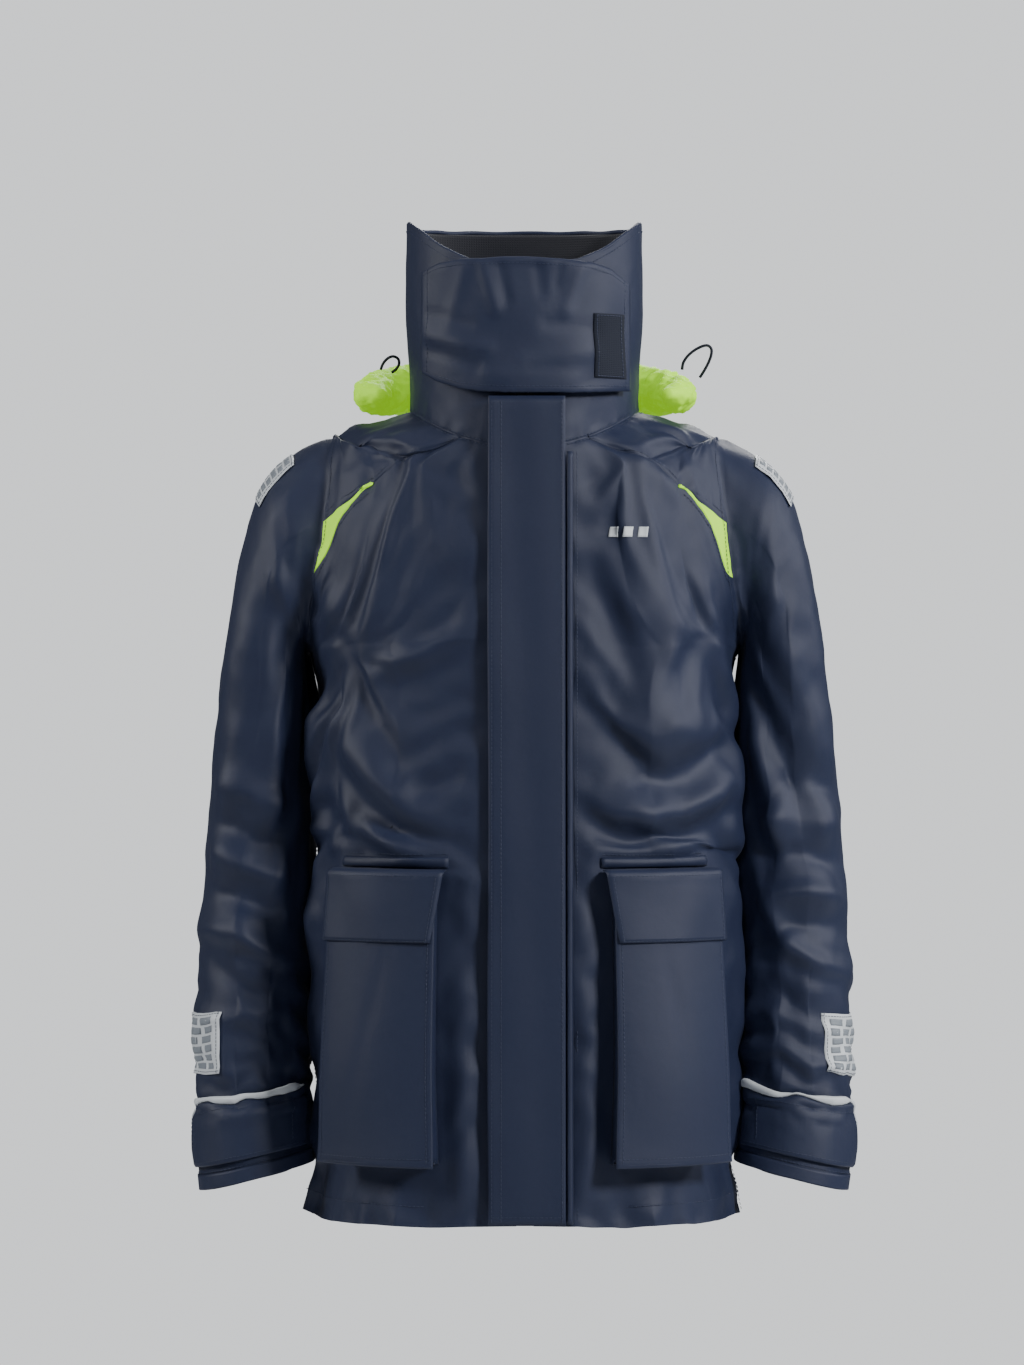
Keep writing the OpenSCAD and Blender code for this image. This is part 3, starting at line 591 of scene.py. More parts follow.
def run_cloth(rest, inner, polys, hold, frames=22):
    """Drapes the shell over an inner form, with a little spare cloth, and returns the points."""
    cloth = bpy.data.objects.new("drape", new_mesh("drape", rest, polys))
    form = bpy.data.objects.new("form", new_mesh("form", inner, polys))
    for obj in (cloth, form):
        scene.collection.objects.link(obj)
    form.modifiers.new("hit", "COLLISION")
    form.collision.thickness_outer = 0.001
    form.collision.cloth_friction = 8
    group = cloth.vertex_groups.new(name="hold")
    for i, w in enumerate(hold):
        if w > 0.01:
            group.add([i], float(w), "REPLACE")
    mod = cloth.modifiers.new("cloth", "CLOTH")
    st = mod.settings
    st.quality = 5
    st.mass = 0.25
    st.tension_stiffness = st.compression_stiffness = 30
    st.shear_stiffness = 12
    st.bending_stiffness = 1.2
    st.tension_damping = st.compression_damping = 12
    st.air_damping = 2
    st.shrink_min = -0.045
    st.vertex_group_mass = "hold"
    st.pin_stiffness = 0.9
    mod.collision_settings.distance_min = 0.002
    mod.collision_settings.use_self_collision = False
    mod.point_cache.frame_end = frames
    for f in range(1, frames + 1):
        scene.frame_set(f)
    mesh = cloth.evaluated_get(bpy.context.evaluated_depsgraph_get()).to_mesh()
    out = np.zeros(len(mesh.vertices) * 3)
    mesh.vertices.foreach_get("co", out)
    scene.frame_set(1)
    for obj in (cloth, form):
        bpy.data.objects.remove(obj)
    return out.reshape(-1, 3) * 1000


def smooth(values, polys, times):
    """Averages values over neighbouring points."""
    a = np.array([(p[k - 1], p[k]) for p in polys for k in range(len(p))])
    for _ in range(times):
        total, count = np.zeros_like(values), np.zeros(len(values))
        for i, j in ((0, 1), (1, 0)):
            np.add.at(total, a[:, i], values[a[:, j]])
            np.add.at(count, a[:, i], 1)
        mean = total / np.maximum(count, 1)[:, None]
        values = values * 0.5 + mean * 0.5
    return values


shape = start
draped = run_cloth(start, flat - normals * 8, faces, np.clip(1.05 - held, 0, 1))
move = draped - start
size = np.linalg.norm(move, axis=1)
move *= (np.minimum(size, 13) / np.maximum(size, 1e-6))[:, None]
shape = start + smooth(move, faces, 1) * np.clip(held * 1.6, 0, 1)[:, None]
# The body's sides hang out to the sleeves, and the sleeves lie against them.


def hug(mask, widest, target, hinge, outward):
    """Moves points beyond hinge so that the outermost one at each height reaches target."""
    z = shape[:, 2]
    levels = np.arange(-668, -190, 6.0)
    for side in (1, -1):
        own = mask & (shape[:, 0] * side > 0)
        ends = np.array([widest(shape[own & (np.abs(z - level) < 7), 0] * side) for level in levels])
        x = shape[:, 0] * side
        reach = np.interp(z, levels, ends)
        fade = np.clip((z + 676) / 26, 0, 1) * np.clip((-184 - z) / 75, 0, 1) ** 1.3
        part = np.clip((x - hinge) / (reach - hinge), 0, 1.05) ** 1.4
        shape[own, 0] += (side * fade * part * (target - reach))[own]
        # a soft swell past the other piece's edge, where that one curves away
        y0, swell = (-52, 12) if outward else (58, -14)
        past = np.exp(-((shape[:, 1] - y0) / 17) ** 2) * np.clip((part - 0.72) * 5, 0, 1)
        shape[own, 0] += (side * fade * past * swell)[own]


hug(torso & ~in_collar, np.max, 186.6, 95, True)
hug(arms, np.min, 187.6, 236, False)
hem = torso & (shape[:, 2] < -640)
shape[hem, 0] *= 1 - 0.065 * np.clip((-640 - shape[hem, 2]) / 50, 0, 1)
# The seams under the arms lie soft, without a crease across them.
pit = np.exp(-((np.abs(shape[:, 0]) - 168) / 26) ** 2 - ((shape[:, 2] + 196) / 20) ** 2)
shape += (smooth(shape, faces, 10) - shape) * np.minimum(pit * 1.3, 1)[:, None]
for name, ids in places.items():
    GRIDS[name].p = shape[ids]


# ---- mesh helpers --------------------------------------------------------------------------------------
CLOTH = 1.6


def slot_of(material):
    return next(k for k, m in FINISH.items() if m is material)


def make(name, verts, polys, material, slot=None, normals=None):
    mesh = new_mesh(name, verts, polys)
    mesh.polygons.foreach_set("use_smooth", [True] * len(mesh.polygons))
    mesh.materials.append(material)
    if normals is not None:
        mesh.normals_split_custom_set_from_vertices(np.asarray(normals).tolist())
    obj = bpy.data.objects.new(name, mesh)
    scene.collection.objects.link(obj)
    slot or slot_of(material)
    return obj


def grid_faces(rows, cols, start=0, wrap=False, flip=False):
    out = []
    for i in range(rows - 1):
        for j in range(cols if wrap else cols - 1):
            k = (j + 1) % cols
            low, high = start + i * cols, start + (i + 1) * cols
            loop = [low + j, low + k, high + k, high + j]
            out.append(loop[::-1] if flip else loop)
    return out


def grid_normals(p, wrap=False):
    """Unit normals of a grid of points, by its rows and columns."""
    du = np.gradient(p, axis=0)
    if wrap:
        dv = np.roll(p, -1, axis=1) - np.roll(p, 1, axis=1)
    else:
        dv = np.gradient(p, axis=1)
    n = np.cross(dv, du)
    size = np.linalg.norm(n, axis=2, keepdims=True)
    return n / np.maximum(size, 1e-9)


def faced(p, n, outward):
    """Turns a grid's normals so that the middle one points outward."""
    return -n if n[len(p) // 2, p.shape[1] // 2] @ np.asarray(outward, float) < 0 else n


def slab(p, thick, wrap=False, outward=(0, -1, 0), soft_edge=0.35):
    """A closed sheet of that thickness behind a grid of points. outward is a rough outer direction at its middle."""
    p = np.asarray(p, float)
    n = faced(p, grid_normals(p, wrap), outward)
    rows, cols = p.shape[:2]
    i, j = rows // 2, cols // 2
    turn = np.cross(p[i, (j + 1) % cols] - p[i, j],
                    p[min(i + 1, rows - 1), j] - p[i - (i + 1 >= rows), j])
    flip = turn @ n[i, j] < 0
    outer = p
    if soft_edge and not wrap and rows > 4 and cols > 4:
        # the outermost ring of the outer face sinks a little, so that edges look turned and pressed
        sunk = np.ones((rows, cols))
        sunk[1:-1, 1:-1] = 0
        outer = p - n * (sunk * thick * soft_edge)[:, :, None]
    verts = np.concatenate([outer.reshape(-1, 3), (p - n * thick).reshape(-1, 3)])
    count = rows * cols
    polys = grid_faces(rows, cols, 0, wrap, flip) + grid_faces(rows, cols, count, wrap, not flip)
    top, low = list(range(cols)), [(rows - 1) * cols + j for j in range(cols)]
    if wrap:
        border = [(top[j], top[(j + 1) % cols]) for j in range(cols)]
        border += [(low[(j + 1) % cols], low[j]) for j in range(cols)]
    else:
        right = [i * cols + cols - 1 for i in range(1, rows)]
        left = [i * cols for i in range(rows - 2, 0, -1)]
        loop = top + right + low[::-1][1:] + left
        border = [(loop[k], loop[(k + 1) % len(loop)]) for k in range(len(loop))]
    for a, b in border:
        quad = [a, a + count, b + count, b]
        polys.append(quad[::-1] if flip else quad)
    return verts, polys


def joined(parts):
    verts, polys, start = [], [], 0
    for v, f in parts:
        verts.append(np.asarray(v, float))
        polys += [[a + start for a in loop] for loop in f]
        start += len(v)
    return np.concatenate(verts), polys


def tube(line, radius, sides=8, closed=False):
    """A round tube along a line of points. radius is one number or one for each point."""
    line = np.asarray(line, float)
    count = len(line)
    r = np.broadcast_to(np.asarray(radius, float), (count,))
    tangent = np.roll(line, -1, 0) - np.roll(line, 1, 0) if closed else np.gradient(line, axis=0)
    tangent /= np.maximum(np.linalg.norm(tangent, axis=1, keepdims=True), 1e-9)
    side = np.cross(tangent[0], (0.13, 0.2, 0.97))
    verts = []
    for k in range(count):
        side = side - tangent[k] * (side @ tangent[k])
        side /= np.linalg.norm(side)
        up = np.cross(tangent[k], side)
        verts += [line[k] + r[k] * (side * math.cos(a) + up * math.sin(a))
                  for a in np.linspace(0, 2 * math.pi, sides, endpoint=False)]
    polys = grid_faces(count, sides, 0, True)
    if closed:
        last = (count - 1) * sides
        polys += [[last + j, last + (j + 1) % sides, (j + 1) % sides, j] for j in range(sides)]
    else:
        polys += [list(range(sides))[::-1], [(count - 1) * sides + j for j in range(sides)]]
    return np.array(verts), polys


def resample(line, step):
    line = np.asarray(line, float)
    size = np.concatenate([[0], np.cumsum(np.linalg.norm(np.diff(line, axis=0), axis=1))])
    t = np.linspace(0, size[-1], max(2, int(round(size[-1] / step)) + 1))
    return np.array([[np.interp(x, size, line[:, k]) for k in range(line.shape[1])] for x in t])


def stitches(lines, length=2.5, gap=1.3, radius=0.33):
    """Short threads laid along lines of (point, normal) rows, as one mesh."""
    verts, polys = [], []
    for line in lines:
        data = resample(np.asarray(line, float), (length + gap) / 4)
        k = 0
        while k + 3 < len(data):
            a, b = data[k, :3], data[min(k + 3, len(data) - 1), :3]
            n = data[k, 3:] / max(np.linalg.norm(data[k, 3:]), 1e-9)
            way = b - a
            size = np.linalg.norm(way)
            k += 4
            if size < 0.5:
                continue
            way /= size
            side = np.cross(way, n)
            side /= max(np.linalg.norm(side), 1e-9)
            base = len(verts)
            for p, tall in ((a, 0.2), (a * 0.75 + b * 0.25, 1), (a * 0.25 + b * 0.75, 1), (b, 0.2)):
                verts += [p - side * radius * 1.1, p + n * radius * 1.5 * tall, p + side * radius * 1.1]
            for s in range(3):
                for j in (0, 1):
                    q = base + s * 3 + j
                    polys.append([q, q + 3, q + 4, q + 1])
    return np.array(verts), polys


def on(name, c, v, d=0.0):
    return GRIDS[name].at(c, v, d * OUT[name])


def on_flat(name, c, v, d=0.0):
    return GRIDS[name].flat_at(c, v, d * OUT[name])


def seam_line(name, spots, d=0.25):
    """(point, outer normal) rows along (c, v) spots of a grid."""
    out = []
    for c, v in spots:
        p, q = on(name, c, v, d), on(name, c, v, d + 1)
        out.append(np.concatenate([p, q - p]))
    return np.array(out)


def grid_line(points, d=0.0, outward=(0, -1, 0)):
    """(point, normal) rows for a line of a sheet that faces outward."""
    points = np.asarray(points, float)
    return np.concatenate([points + np.asarray(outward, float) * d, np.tile(outward, (len(points), 1))], axis=1)


Z_OF = np.linspace(0, 6, 601)
Z_ROWS = np.array([row_at(BODY, v)[0] for v in Z_OF])


def v_at(z):
    return float(np.interp(z, Z_ROWS, Z_OF))


# ---- the shell's pieces: finer, creased at the seams, and as thick as the cloth -------------------------
whole = bpy.data.objects.new("whole", new_mesh("whole", shape, faces, 1))
scene.collection.objects.link(whole)
whole.data.polygons.foreach_set("material_index", marks)
mod = whole.modifiers.new("finer", "SUBSURF")
mod.levels = mod.render_levels = 1
mod.boundary_smooth = "PRESERVE_CORNERS"
fine = whole.evaluated_get(bpy.context.evaluated_depsgraph_get()).to_mesh()
co = np.zeros(len(fine.vertices) * 3)
fine.vertices.foreach_get("co", co)
co = co.reshape(-1, 3)
loops = np.array([list(p.vertices) for p in fine.polygons])
face_mark = np.zeros(len(fine.polygons), int)
fine.polygons.foreach_get("material_index", face_mark)
bpy.data.objects.remove(whole)


def face_normals_to_points(verts, quads):
    a = np.cross(verts[quads[:, 2]] - verts[quads[:, 0]], verts[quads[:, 3]] - verts[quads[:, 1]])
    out = np.zeros_like(verts)
    for k in range(4):
        np.add.at(out, quads[:, k], a)
    return out / np.maximum(np.linalg.norm(out, axis=1, keepdims=True), 1e-9)


fine_n = face_normals_to_points(co, loops)
# The cap and the arm of a sleeve are one cloth, so there is no seam between them.
REAL = np.array([LABELS.index(m.replace("sleeve_cap_", "sleeve_arm_")) for m in LABELS])
seam = np.zeros(len(co), bool)
first = np.full(len(co), -1)
for k in range(4):
    real = REAL[face_mark]
    mixed = (first[loops[:, k]] >= 0) & (first[loops[:, k]] != real)
    seam[loops[mixed, k]] = True
    first[loops[:, k]] = real
reach = np.where(seam, 0, 99)
for step in range(1, 7):
    low = reach[loops].min(axis=1)
    for k in range(4):
        np.minimum.at(reach, loops[:, k], low + 1)
pucker = ripple(co, 11, 21) * np.clip(1 - reach / 7, 0, 1) * 0.55
crinkle = ripple(co, 22, 33) * 0.28 + ripple(co, 46, 5) * 0.35
collar_edge = co[:, 2] > 40
groove = np.select([reach == 0, reach == 1], [-0.85, -0.25], 0)
co += fine_n * (groove + pucker + np.where(collar_edge, 0.5, 1) * crinkle)[:, None]
fine_n = face_normals_to_points(co, loops)

BENDS = {}
for side, k in SIDES.items():
    out_way = np.array([0.989 * k, 0, 0.147])
    s, e = out_way * 0.170, out_way * 0.270
    BENDS["sleeve_cap_" + side] = ("shell", "sleeve_" + side, tuple(s), tuple(e), (0, 0, -0.192), (0, 0, -0.302))
    BENDS["sleeve_arm_" + side] = ("sleeve_" + side, "forearm_" + side, (0, 0, -0.350), (0, 0, -0.490))


def shell_piece(mark):
    quads = loops[face_mark == mark]
    used = np.unique(quads)
    index = np.full(len(co), -1)
    index[used] = np.arange(len(used))
    quads = index[quads]
    outer, n = co[used], fine_n[used]
    count = len(used)
    verts = np.concatenate([outer, outer - n * CLOTH])
    polys = quads.tolist() + (quads[:, ::-1] + count).tolist()
    edges = {}
    for q in quads:
        for k in range(4):
            a, b = int(q[k]), int(q[(k + 1) % 4])
            if (b, a) in edges:
                del edges[(b, a)]
            else:
                edges[(a, b)] = True
    polys += [[b, a, a + count, b + count] for a, b in edges]
    return verts, polys, np.concatenate([n, -n])


def cut(verts, polys, normals, point, plane):
    """The part of a mesh on the far side of a plane, with its normals carried along."""
    bm = bmesh.new()
    layers = [bm.verts.layers.float.new(k) for k in "xyz"]
    made = []
    for p, n in zip(verts, normals):
        vert = bm.verts.new(p)
        for k in range(3):
            vert[layers[k]] = n[k]
        made.append(vert)
    for f in polys:
        bm.faces.new([made[i] for i in f])
    bmesh.ops.bisect_plane(bm, geom=bm.verts[:] + bm.edges[:] + bm.faces[:], dist=1e-4, plane_co=point, plane_no=plane,
                           clear_inner=True)
    bm.verts.index_update()
    v = np.array([vert.co[:] for vert in bm.verts])
    n = np.array([[vert[layer] for layer in layers] for vert in bm.verts])
    f = [[vert.index for vert in face.verts] for face in bm.faces]
    bm.free()
    return v, f, n / np.maximum(np.linalg.norm(n, axis=1, keepdims=True), 1e-9)


def armhole_bend(verts, polys, normals, side):
    """The cap cut in two halves, the shoulder's and the underarm's, each returned with its two bodies and its bend
    line.
    """
    a, b, s, e, s2, e2 = BENDS["sleeve_cap_" + side]
    s, e, s2, e2 = (np.array(x) * 1000 for x in (s, e, s2, e2))
    g1, g2 = (e - s) / ((e - s) @ (e - s)), (e2 - s2) / ((e2 - s2) @ (e2 - s2))
    plane = g1 - g2
    const = s @ g1 - s2 @ g2
    point = plane * const / (plane @ plane)
    return [(cut(verts, polys, normals, point, plane), (a, b, tuple(s / 1000), tuple(e / 1000))),
            (cut(verts, polys, normals, point, -plane), (a, b, tuple(s2 / 1000), tuple(e2 / 1000)))]


for mark, name in enumerate(LABELS):
    verts, polys, n = shell_piece(mark)
    material = LIME if name.startswith("chest_insert") else NAVY
    side = name.rsplit("_", 1)[-1]
    if name.startswith("sleeve_cap"):
        for (v, f, nn), bend in armhole_bend(verts, polys, n, side):
            tag = "shoulder" if bend[2][2] > -0.1 else "underarm"
            obj = make(f"sleeve_{tag}_{side}", v, f, material, normals=nn)
            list(bend)
            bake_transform(obj)
        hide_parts("sleeve_upper_" + side)
    elif name.startswith("sleeve_arm"):
        obj = make(f"sleeve_lower_{side}", verts, polys, material, normals=n)
        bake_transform(obj)
        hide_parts("sleeve_forearm_" + side)
    else:
        obj = make(name + "_cloth", verts, polys, material, normals=n)
        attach(obj, "shell")
        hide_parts(name)


def piece(name, solid, material, body, *nodes, slot=None):
    """A finished piece that rides on a body, or, given a bend between two bodies, stays fixed where it was made; it
    stands for CAD nodes.
    """
    obj = make(name, solid[0], solid[1], material, slot)
    if isinstance(body, str):
        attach(obj, body)
    else:
        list(body)
        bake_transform(obj)
    if nodes:
        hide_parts(*nodes)
    return obj


def thread(name, lines, body, **kw):
    return piece(name, stitches(lines, **kw), THREAD, body, slot="navy_shell")


def strip(name, p, thick, material, body, *nodes, outward=(0, -1, 0)):
    """A thin piece with square edges, such as a tape or a piping."""
    return piece(name, slab(p, thick, outward=outward, soft_edge=0), material, body, *nodes)


def spots_of(cs, vs):
    """Rows of (c, v) spots."""
    return [[(c, v) for c in cs] for v in vs]


def surface(name, spots, d, at=on):
    """A grid of points d outside a piece of the shell; spots is rows of (c, v), and d a number or rows of them."""
    deep = np.broadcast_to(np.asarray(d, float), np.array(spots).shape[:2])
    return np.array([[at(name, c, v, float(e)) for (c, v), e in zip(line, far)] for line, far in zip(spots, deep)])


def outer_edge(p, inset=0.0, sides="tblr", d=0.0, outward=(0, -1, 0)):
    """(point, normal) lines along the borders of a grid, inset from them as a share of a step."""
    n = faced(p, grid_normals(p), outward)
    both = np.concatenate([p + n * d, n], axis=2)
    rows, cols = p.shape[:2]

    def line(table, r):
        i = min(int(r), len(table) - 2)
        return (table[i] * (1 - r + i) + table[i + 1] * (r - i))[1:-1]

    across = both.transpose(1, 0, 2)
    lines = {"t": (both, inset), "b": (both, rows - 1 - inset), "l": (across, inset), "r": (across, cols - 1 - inset)}
    return [line(*lines[side]) for side in "tblr" if side in sides]


# ---- seams and topstitching of the shell -----------------------------------------------------------------


def across(name, low, high, count, row):
    """A stitch line from column low to high. row gives the row at each column."""
    return seam_line(name, [(c, row(c)) for c in np.linspace(low, high, count)])


def level(v):
    return lambda c: v


shell_lines = []
for side in SIDES:
    g = "front_" + side
    shell_lines += [across(g, 0.375, 0.995, 90, lambda c: yoke_v(c) + 0.10),
                    across(g, 0.70, 0.985, 50, lambda c: insert_v(c) - 0.10),
                    across(g, 0.26, 0.99, 60, level(0.55)), across(g, 0.10, 0.98, 40, level(10.93)),
                    seam_line(g, [(0.985 if v < 6 else 0.97, v) for v in np.linspace(0.1, 9.8, 150)])]
shell_lines += [across("back", -0.99, 0.99, 110, level(0.55)), across("back", -0.97, 0.97, 90, level(BACK_YOKE + 0.10)),
                across("back", -0.97, 0.97, 60, level(10.93))]
shell_lines += [seam_line("back", [(c, v) for v in np.linspace(0.1, 9.8, 150)]) for c in (-0.985, 0.985)]
shell_lines += [across("collar", -1.9, 1.9, 140, level(0.10)), across("collar", -1.93, 1.93, 150, level(2.90))]
thread("shell_topstitch", shell_lines, "shell")
for side in SIDES:
    g = "sleeve_" + side
    thread("forearm_topstitch_" + side, [across(g, 1, 359, 120, level(v)) for v in (14.44, 14.92)], "forearm_" + side)
    thread("sleeve_seam_stitch_" + side, [seam_line(g, [(200, v) for v in np.linspace(8.3, 14.3, 130)])],
           BENDS["sleeve_arm_" + side])

# ---- collar: its lining and rolled top edge ---------------------------------------------------------------
vs = np.concatenate([np.linspace(0.02, 2.8, 22), [2.9, 2.96]])
fleece = surface("collar", spots_of(np.linspace(-1.955, 1.955, 150), vs), -2.7)
piece("collar_fleece", slab(fleece, 3.4, outward=fleece[12, 75]), FLEECE, "shell", "collar_lining")
cs = np.linspace(-1.99, 1.99, 260)
edge = np.array([on("collar", c, 2.985, -1.9) for c in cs])
edge[:, 2] += 0.5 + 0.35 * np.sin(np.linspace(0, 90, len(edge)))
piece("collar_edge_roll", tube(edge, 1.9, 10), NAVY, "shell")

# ---- linings ------------------------------------------------------------------------------------------------
parts = []
LINING_ROWS = np.linspace(0.15, 5.9, 50)
for side in SIDES:
    spots = [[(s_at_x(26, v) + (0.996 - s_at_x(26, v)) * t, v) for t in np.linspace(0, 1, 26)] for v in LINING_ROWS]
    parts.append(slab(surface("front_" + side, spots, -5.1), 1.1))
p = surface("back", spots_of(np.linspace(-0.996, 0.996, 60), LINING_ROWS), -5.1)
parts.append(slab(p, 1.1, outward=(0, 1, 0)))
piece("lining", joined(parts), LINING, "shell", "body_lining")


def before(xs, zs, back_by):
    """A grid of points behind the front edge's line by back_by(x, z)."""
    return np.array([[(x, front_y(z) + back_by(x, z), z) for x in xs] for z in zs])


p = before(np.linspace(-24, 36, 14), np.linspace(-690, 8, 90),
           lambda x, z: 8.6 + 0.012 * abs(x) ** 1.2 + 0.3 * math.sin(z / 31))
piece("inner_flap", slab(p, 1.6), NAVY, "shell", "inner_storm_flap")


# ---- front closure --------------------------------------------------------------------------------------------
def front_point(x, up, out):
    """x, distance up the front edge's line, and distance out from it."""
    lean = math.atan(LEAN)
    return np.array([x, -137.5 - out * math.cos(lean) + up * math.sin(lean), out * math.sin(lean) + up * math.cos(lean)])


ups = -696 + 717 * np.linspace(0, 1, 121)
flap_cols = np.concatenate([[-32, -31.2, -29.5], np.linspace(-26, 31, 17), [33, 35.3]])


def flap_out(x, up):
    free = np.clip((20 - x) / 52, 0, 1)
    soft = 0.55 * math.sin(up / 47 + 0.7) + 0.45 * math.sin(up / 21 + x / 26) + 0.35 * math.sin(up / 83 + x / 9)
    edge = -0.5 if x < -30 else 0
    return 8.55 + free * 0.9 * soft + edge + 0.35 * math.sin(x / 7.0 + up / 160)


p = np.array([[front_point(x + 0.5 * math.sin(u / 60 + 1) * (x < -25), u, flap_out(x, u)) for x in flap_cols]
              for u in ups])
flap = piece("storm_flap_cloth", slab(p, 2.0), NAVY, "storm_flap", "storm_flap")
lines = [grid_line([front_point(x, u, flap_out(x, u) + 0.1) for u in np.linspace(-693, 19, 200)])
         for x in (-28.6, -20.5, 32.2)]
lines.append(grid_line([front_point(x, -689, flap_out(x, -689) + 0.1) for x in np.linspace(-29, 34, 20)]))
thread("storm_flap_topstitch", lines, "storm_flap")


def ribbed(p, high):
    """Raises every other row, as on a ribbed tape."""
    lift = np.array([high * (i % 2) for i in range(len(p))])
    lift[:2] = lift[-2:] = high
    return p + faced(p, grid_normals(p), (0, -1, 0)) * lift[:, None, None]


p = np.array([[front_point(x, u, 5.8) for x in np.linspace(-29, -13, 8)] for u in np.linspace(-666, -19, 220)])
strip("storm_flap_hooks", ribbed(p, -0.35), 1.0, TAPE, "storm_flap", "storm_flap_hook_strip")
p = before(np.linspace(-29, -13, 8), np.linspace(-684, -22, 220), lambda x, z: -1.2 - 0.0004 * x * x)
strip("placket_loops", ribbed(p, 0.3), 1.0, TAPE, "shell", "placket_loop_strip")
zs = np.linspace(-27, -693.5, 130)
profile = [(36.7, 1.2), (36.6, 7.2), (37.2, 8.3), (38.4, 8.75), (39.4, 8.6), (40.6, 8.3), (41.6, 7.2), (42.2, 1.3)]
p = np.array([[(x, front_y(z) - d - 0.25 * math.sin(z / 13) * (d > 5), z) for x, d in profile] for z in zs])
strip("placket_welt", p, 1.0, NAVY, "shell", "storm_flap_welt")
thread("placket_welt_stitch", [grid_line([(45.5, front_y(z) - 0.7, z) for z in zs])], "shell")
for side, k in SIDES.items():
    p = before(np.linspace(3.6, 20, 9) * k, np.linspace(-654, 10, 150), lambda x, z: 2.0 + 0.0003 * x * x)
    strip("zip_tape_cloth_" + side, ribbed(p, 0.12), 0.9, TAPE, "shell", "zip_tape_" + side)
for node in ("zip_teeth", "zip_box", "zip_slider", "zip_puller"):
    mesh = frame["nodes"][node].data
    mesh.materials.clear()
    mesh.materials.append(PLASTIC)

# ---- face guard ---------------------------------------------------------------------------------------------
GUARD_X = [-84, -70, -52, -34, -16, 0, 18, 36, 54, 70, 86]
GUARD_LOW = [44, 35, 28, 25, 24, 24, 24, 24, 25, 26, 28]
GUARD_HIGH = [132, 139, 142, 142, 143, 143, 142, 141, 139, 134, 121]


def collar_v(x, z):
    row = row_at(COLLAR, 2)
    s = math.asin((abs(x) / row[3]) ** (row[6] / 2)) / (math.pi / 2)
    k = math.cos(math.pi / 2 * s) ** 2
    return float(np.interp(z, [COLLAR[i, 0] + (COLLAR[i, 1] - COLLAR[i, 0]) * k for i in range(5)], range(5)))


def guard_point(x, z, d):
    v = collar_v(x, z)

    def at(xx, vv):
        row = row_at(COLLAR, vv)
        s = math.asin(min(1, (abs(xx) / row[3]) ** (row[6] / 2))) / (math.pi / 2)
        return np.array(mirror(collar_point(s, vv, 1), 1 if xx >= 0 else -1))
    p = at(x, v)
    n = np.cross(at(x + 0.5, v) - at(x - 0.5, v), at(x, min(v + 0.05, 4)) - at(x, v - 0.05))
    n /= np.linalg.norm(n)
    q = p + d * n
    return np.array([q[0], q[1], z])


def guard_fold(x, z):
    """Soft creases: fans under the top edge, a sag across the middle and pulls from the right end."""
    out = 0.0
    for x0, z0, x1, z1, w, h in ((-36, 141, -24, 96, 5, 1.5), (-22, 142, -14, 104, 4, -1.2), (-48, 136, -62, 84, 6, 1.1),
                                 (10, 142, 14, 112, 5, -0.9), (48, 138, 34, 96, 6, 1.2), (30, 141, 26, 118, 4, -0.8),
                                 (-84, 78, -30, 62, 6, 1.6), (-84, 66, -40, 47, 5, -1.2), (-80, 96, -46, 84, 5, -1.0),
                                 (54, 60, 0, 50, 8, 1.0), (56, 80, 20, 84, 7, -1.0), (-30, 40, 40, 36, 7, 0.9)):
        t = np.clip(((x - x0) * (x1 - x0) + (z - z0) * (z1 - z0)) / ((x1 - x0) ** 2 + (z1 - z0) ** 2), 0, 1)
        out += h * math.exp(-((x - x0 - t * (x1 - x0)) ** 2 + (z - z0 - t * (z1 - z0)) ** 2) / w ** 2)
    return out + 0.4 * math.sin(x / 17 + z / 12) + 0.3 * math.sin(x / 8 - z / 15)


cols = np.linspace(-84, 86, 70)
rows_f = np.concatenate([[0, 0.012, 0.04], np.linspace(0.07, 0.93, 24), [0.96, 0.988, 1]])


def guard_grid(cols, rows, d):
    out = []
    for f in rows:
        line = []
        for x in cols:
            low = float(np.interp(x, GUARD_X, GUARD_LOW))
            high = float(np.interp(x, GUARD_X, GUARD_HIGH))
            z = high + (low - high) * f
            hem = min((x + 84) / 8, (86 - x) / 8, (high - z) / 8, (z - low) / 8, 1)
            line.append(guard_point(x, z, d + guard_fold(x, z) * max(0, hem) * 1.4 + 0.35 * (0 < hem < 0.95)))
        out.append(line)
    return np.array(out)


p = guard_grid(cols, rows_f, 9.6)
guard = piece("face_guard_cloth", slab(p, 2.0), NAVY, "face_guard", "face_guard")
thread("face_guard_topstitch", outer_edge(p, 2.3, "tblr", 0.15), "face_guard")


def flat_grid(x0, x1, z0, z1, nx, nz, d):
    return np.array([[guard_point(x, z, d + guard_fold(x, z) * 1.4 * (d > 5)) for x in np.linspace(x0, x1, nx)]
                     for z in np.linspace(z1, z0, nz)])


p = flat_grid(56, 80, 38, 94, 12, 44, 10.9)
strip("face_guard_hooks", ribbed(p, -0.3), 0.9, TAPE, "face_guard", "face_guard_tape")
thread("face_guard_hooks_stitch", outer_edge(p, 1.2, "tblr", 0.15), "face_guard", length=2, gap=1.2)
p = flat_grid(50, 76, 44, 100, 12, 44, 1.3)
strip("guard_loops", ribbed(p, 0.3), 0.9, TAPE, "shell", "guard_loop_patch")

# ---- pockets ----------------------------------------------------------------------------------------------
MOUTH, FOOT = -402.0, -646.0


def pocket_d(z):
    return 16 + 11 * (MOUTH - z) / (MOUTH - FOOT)


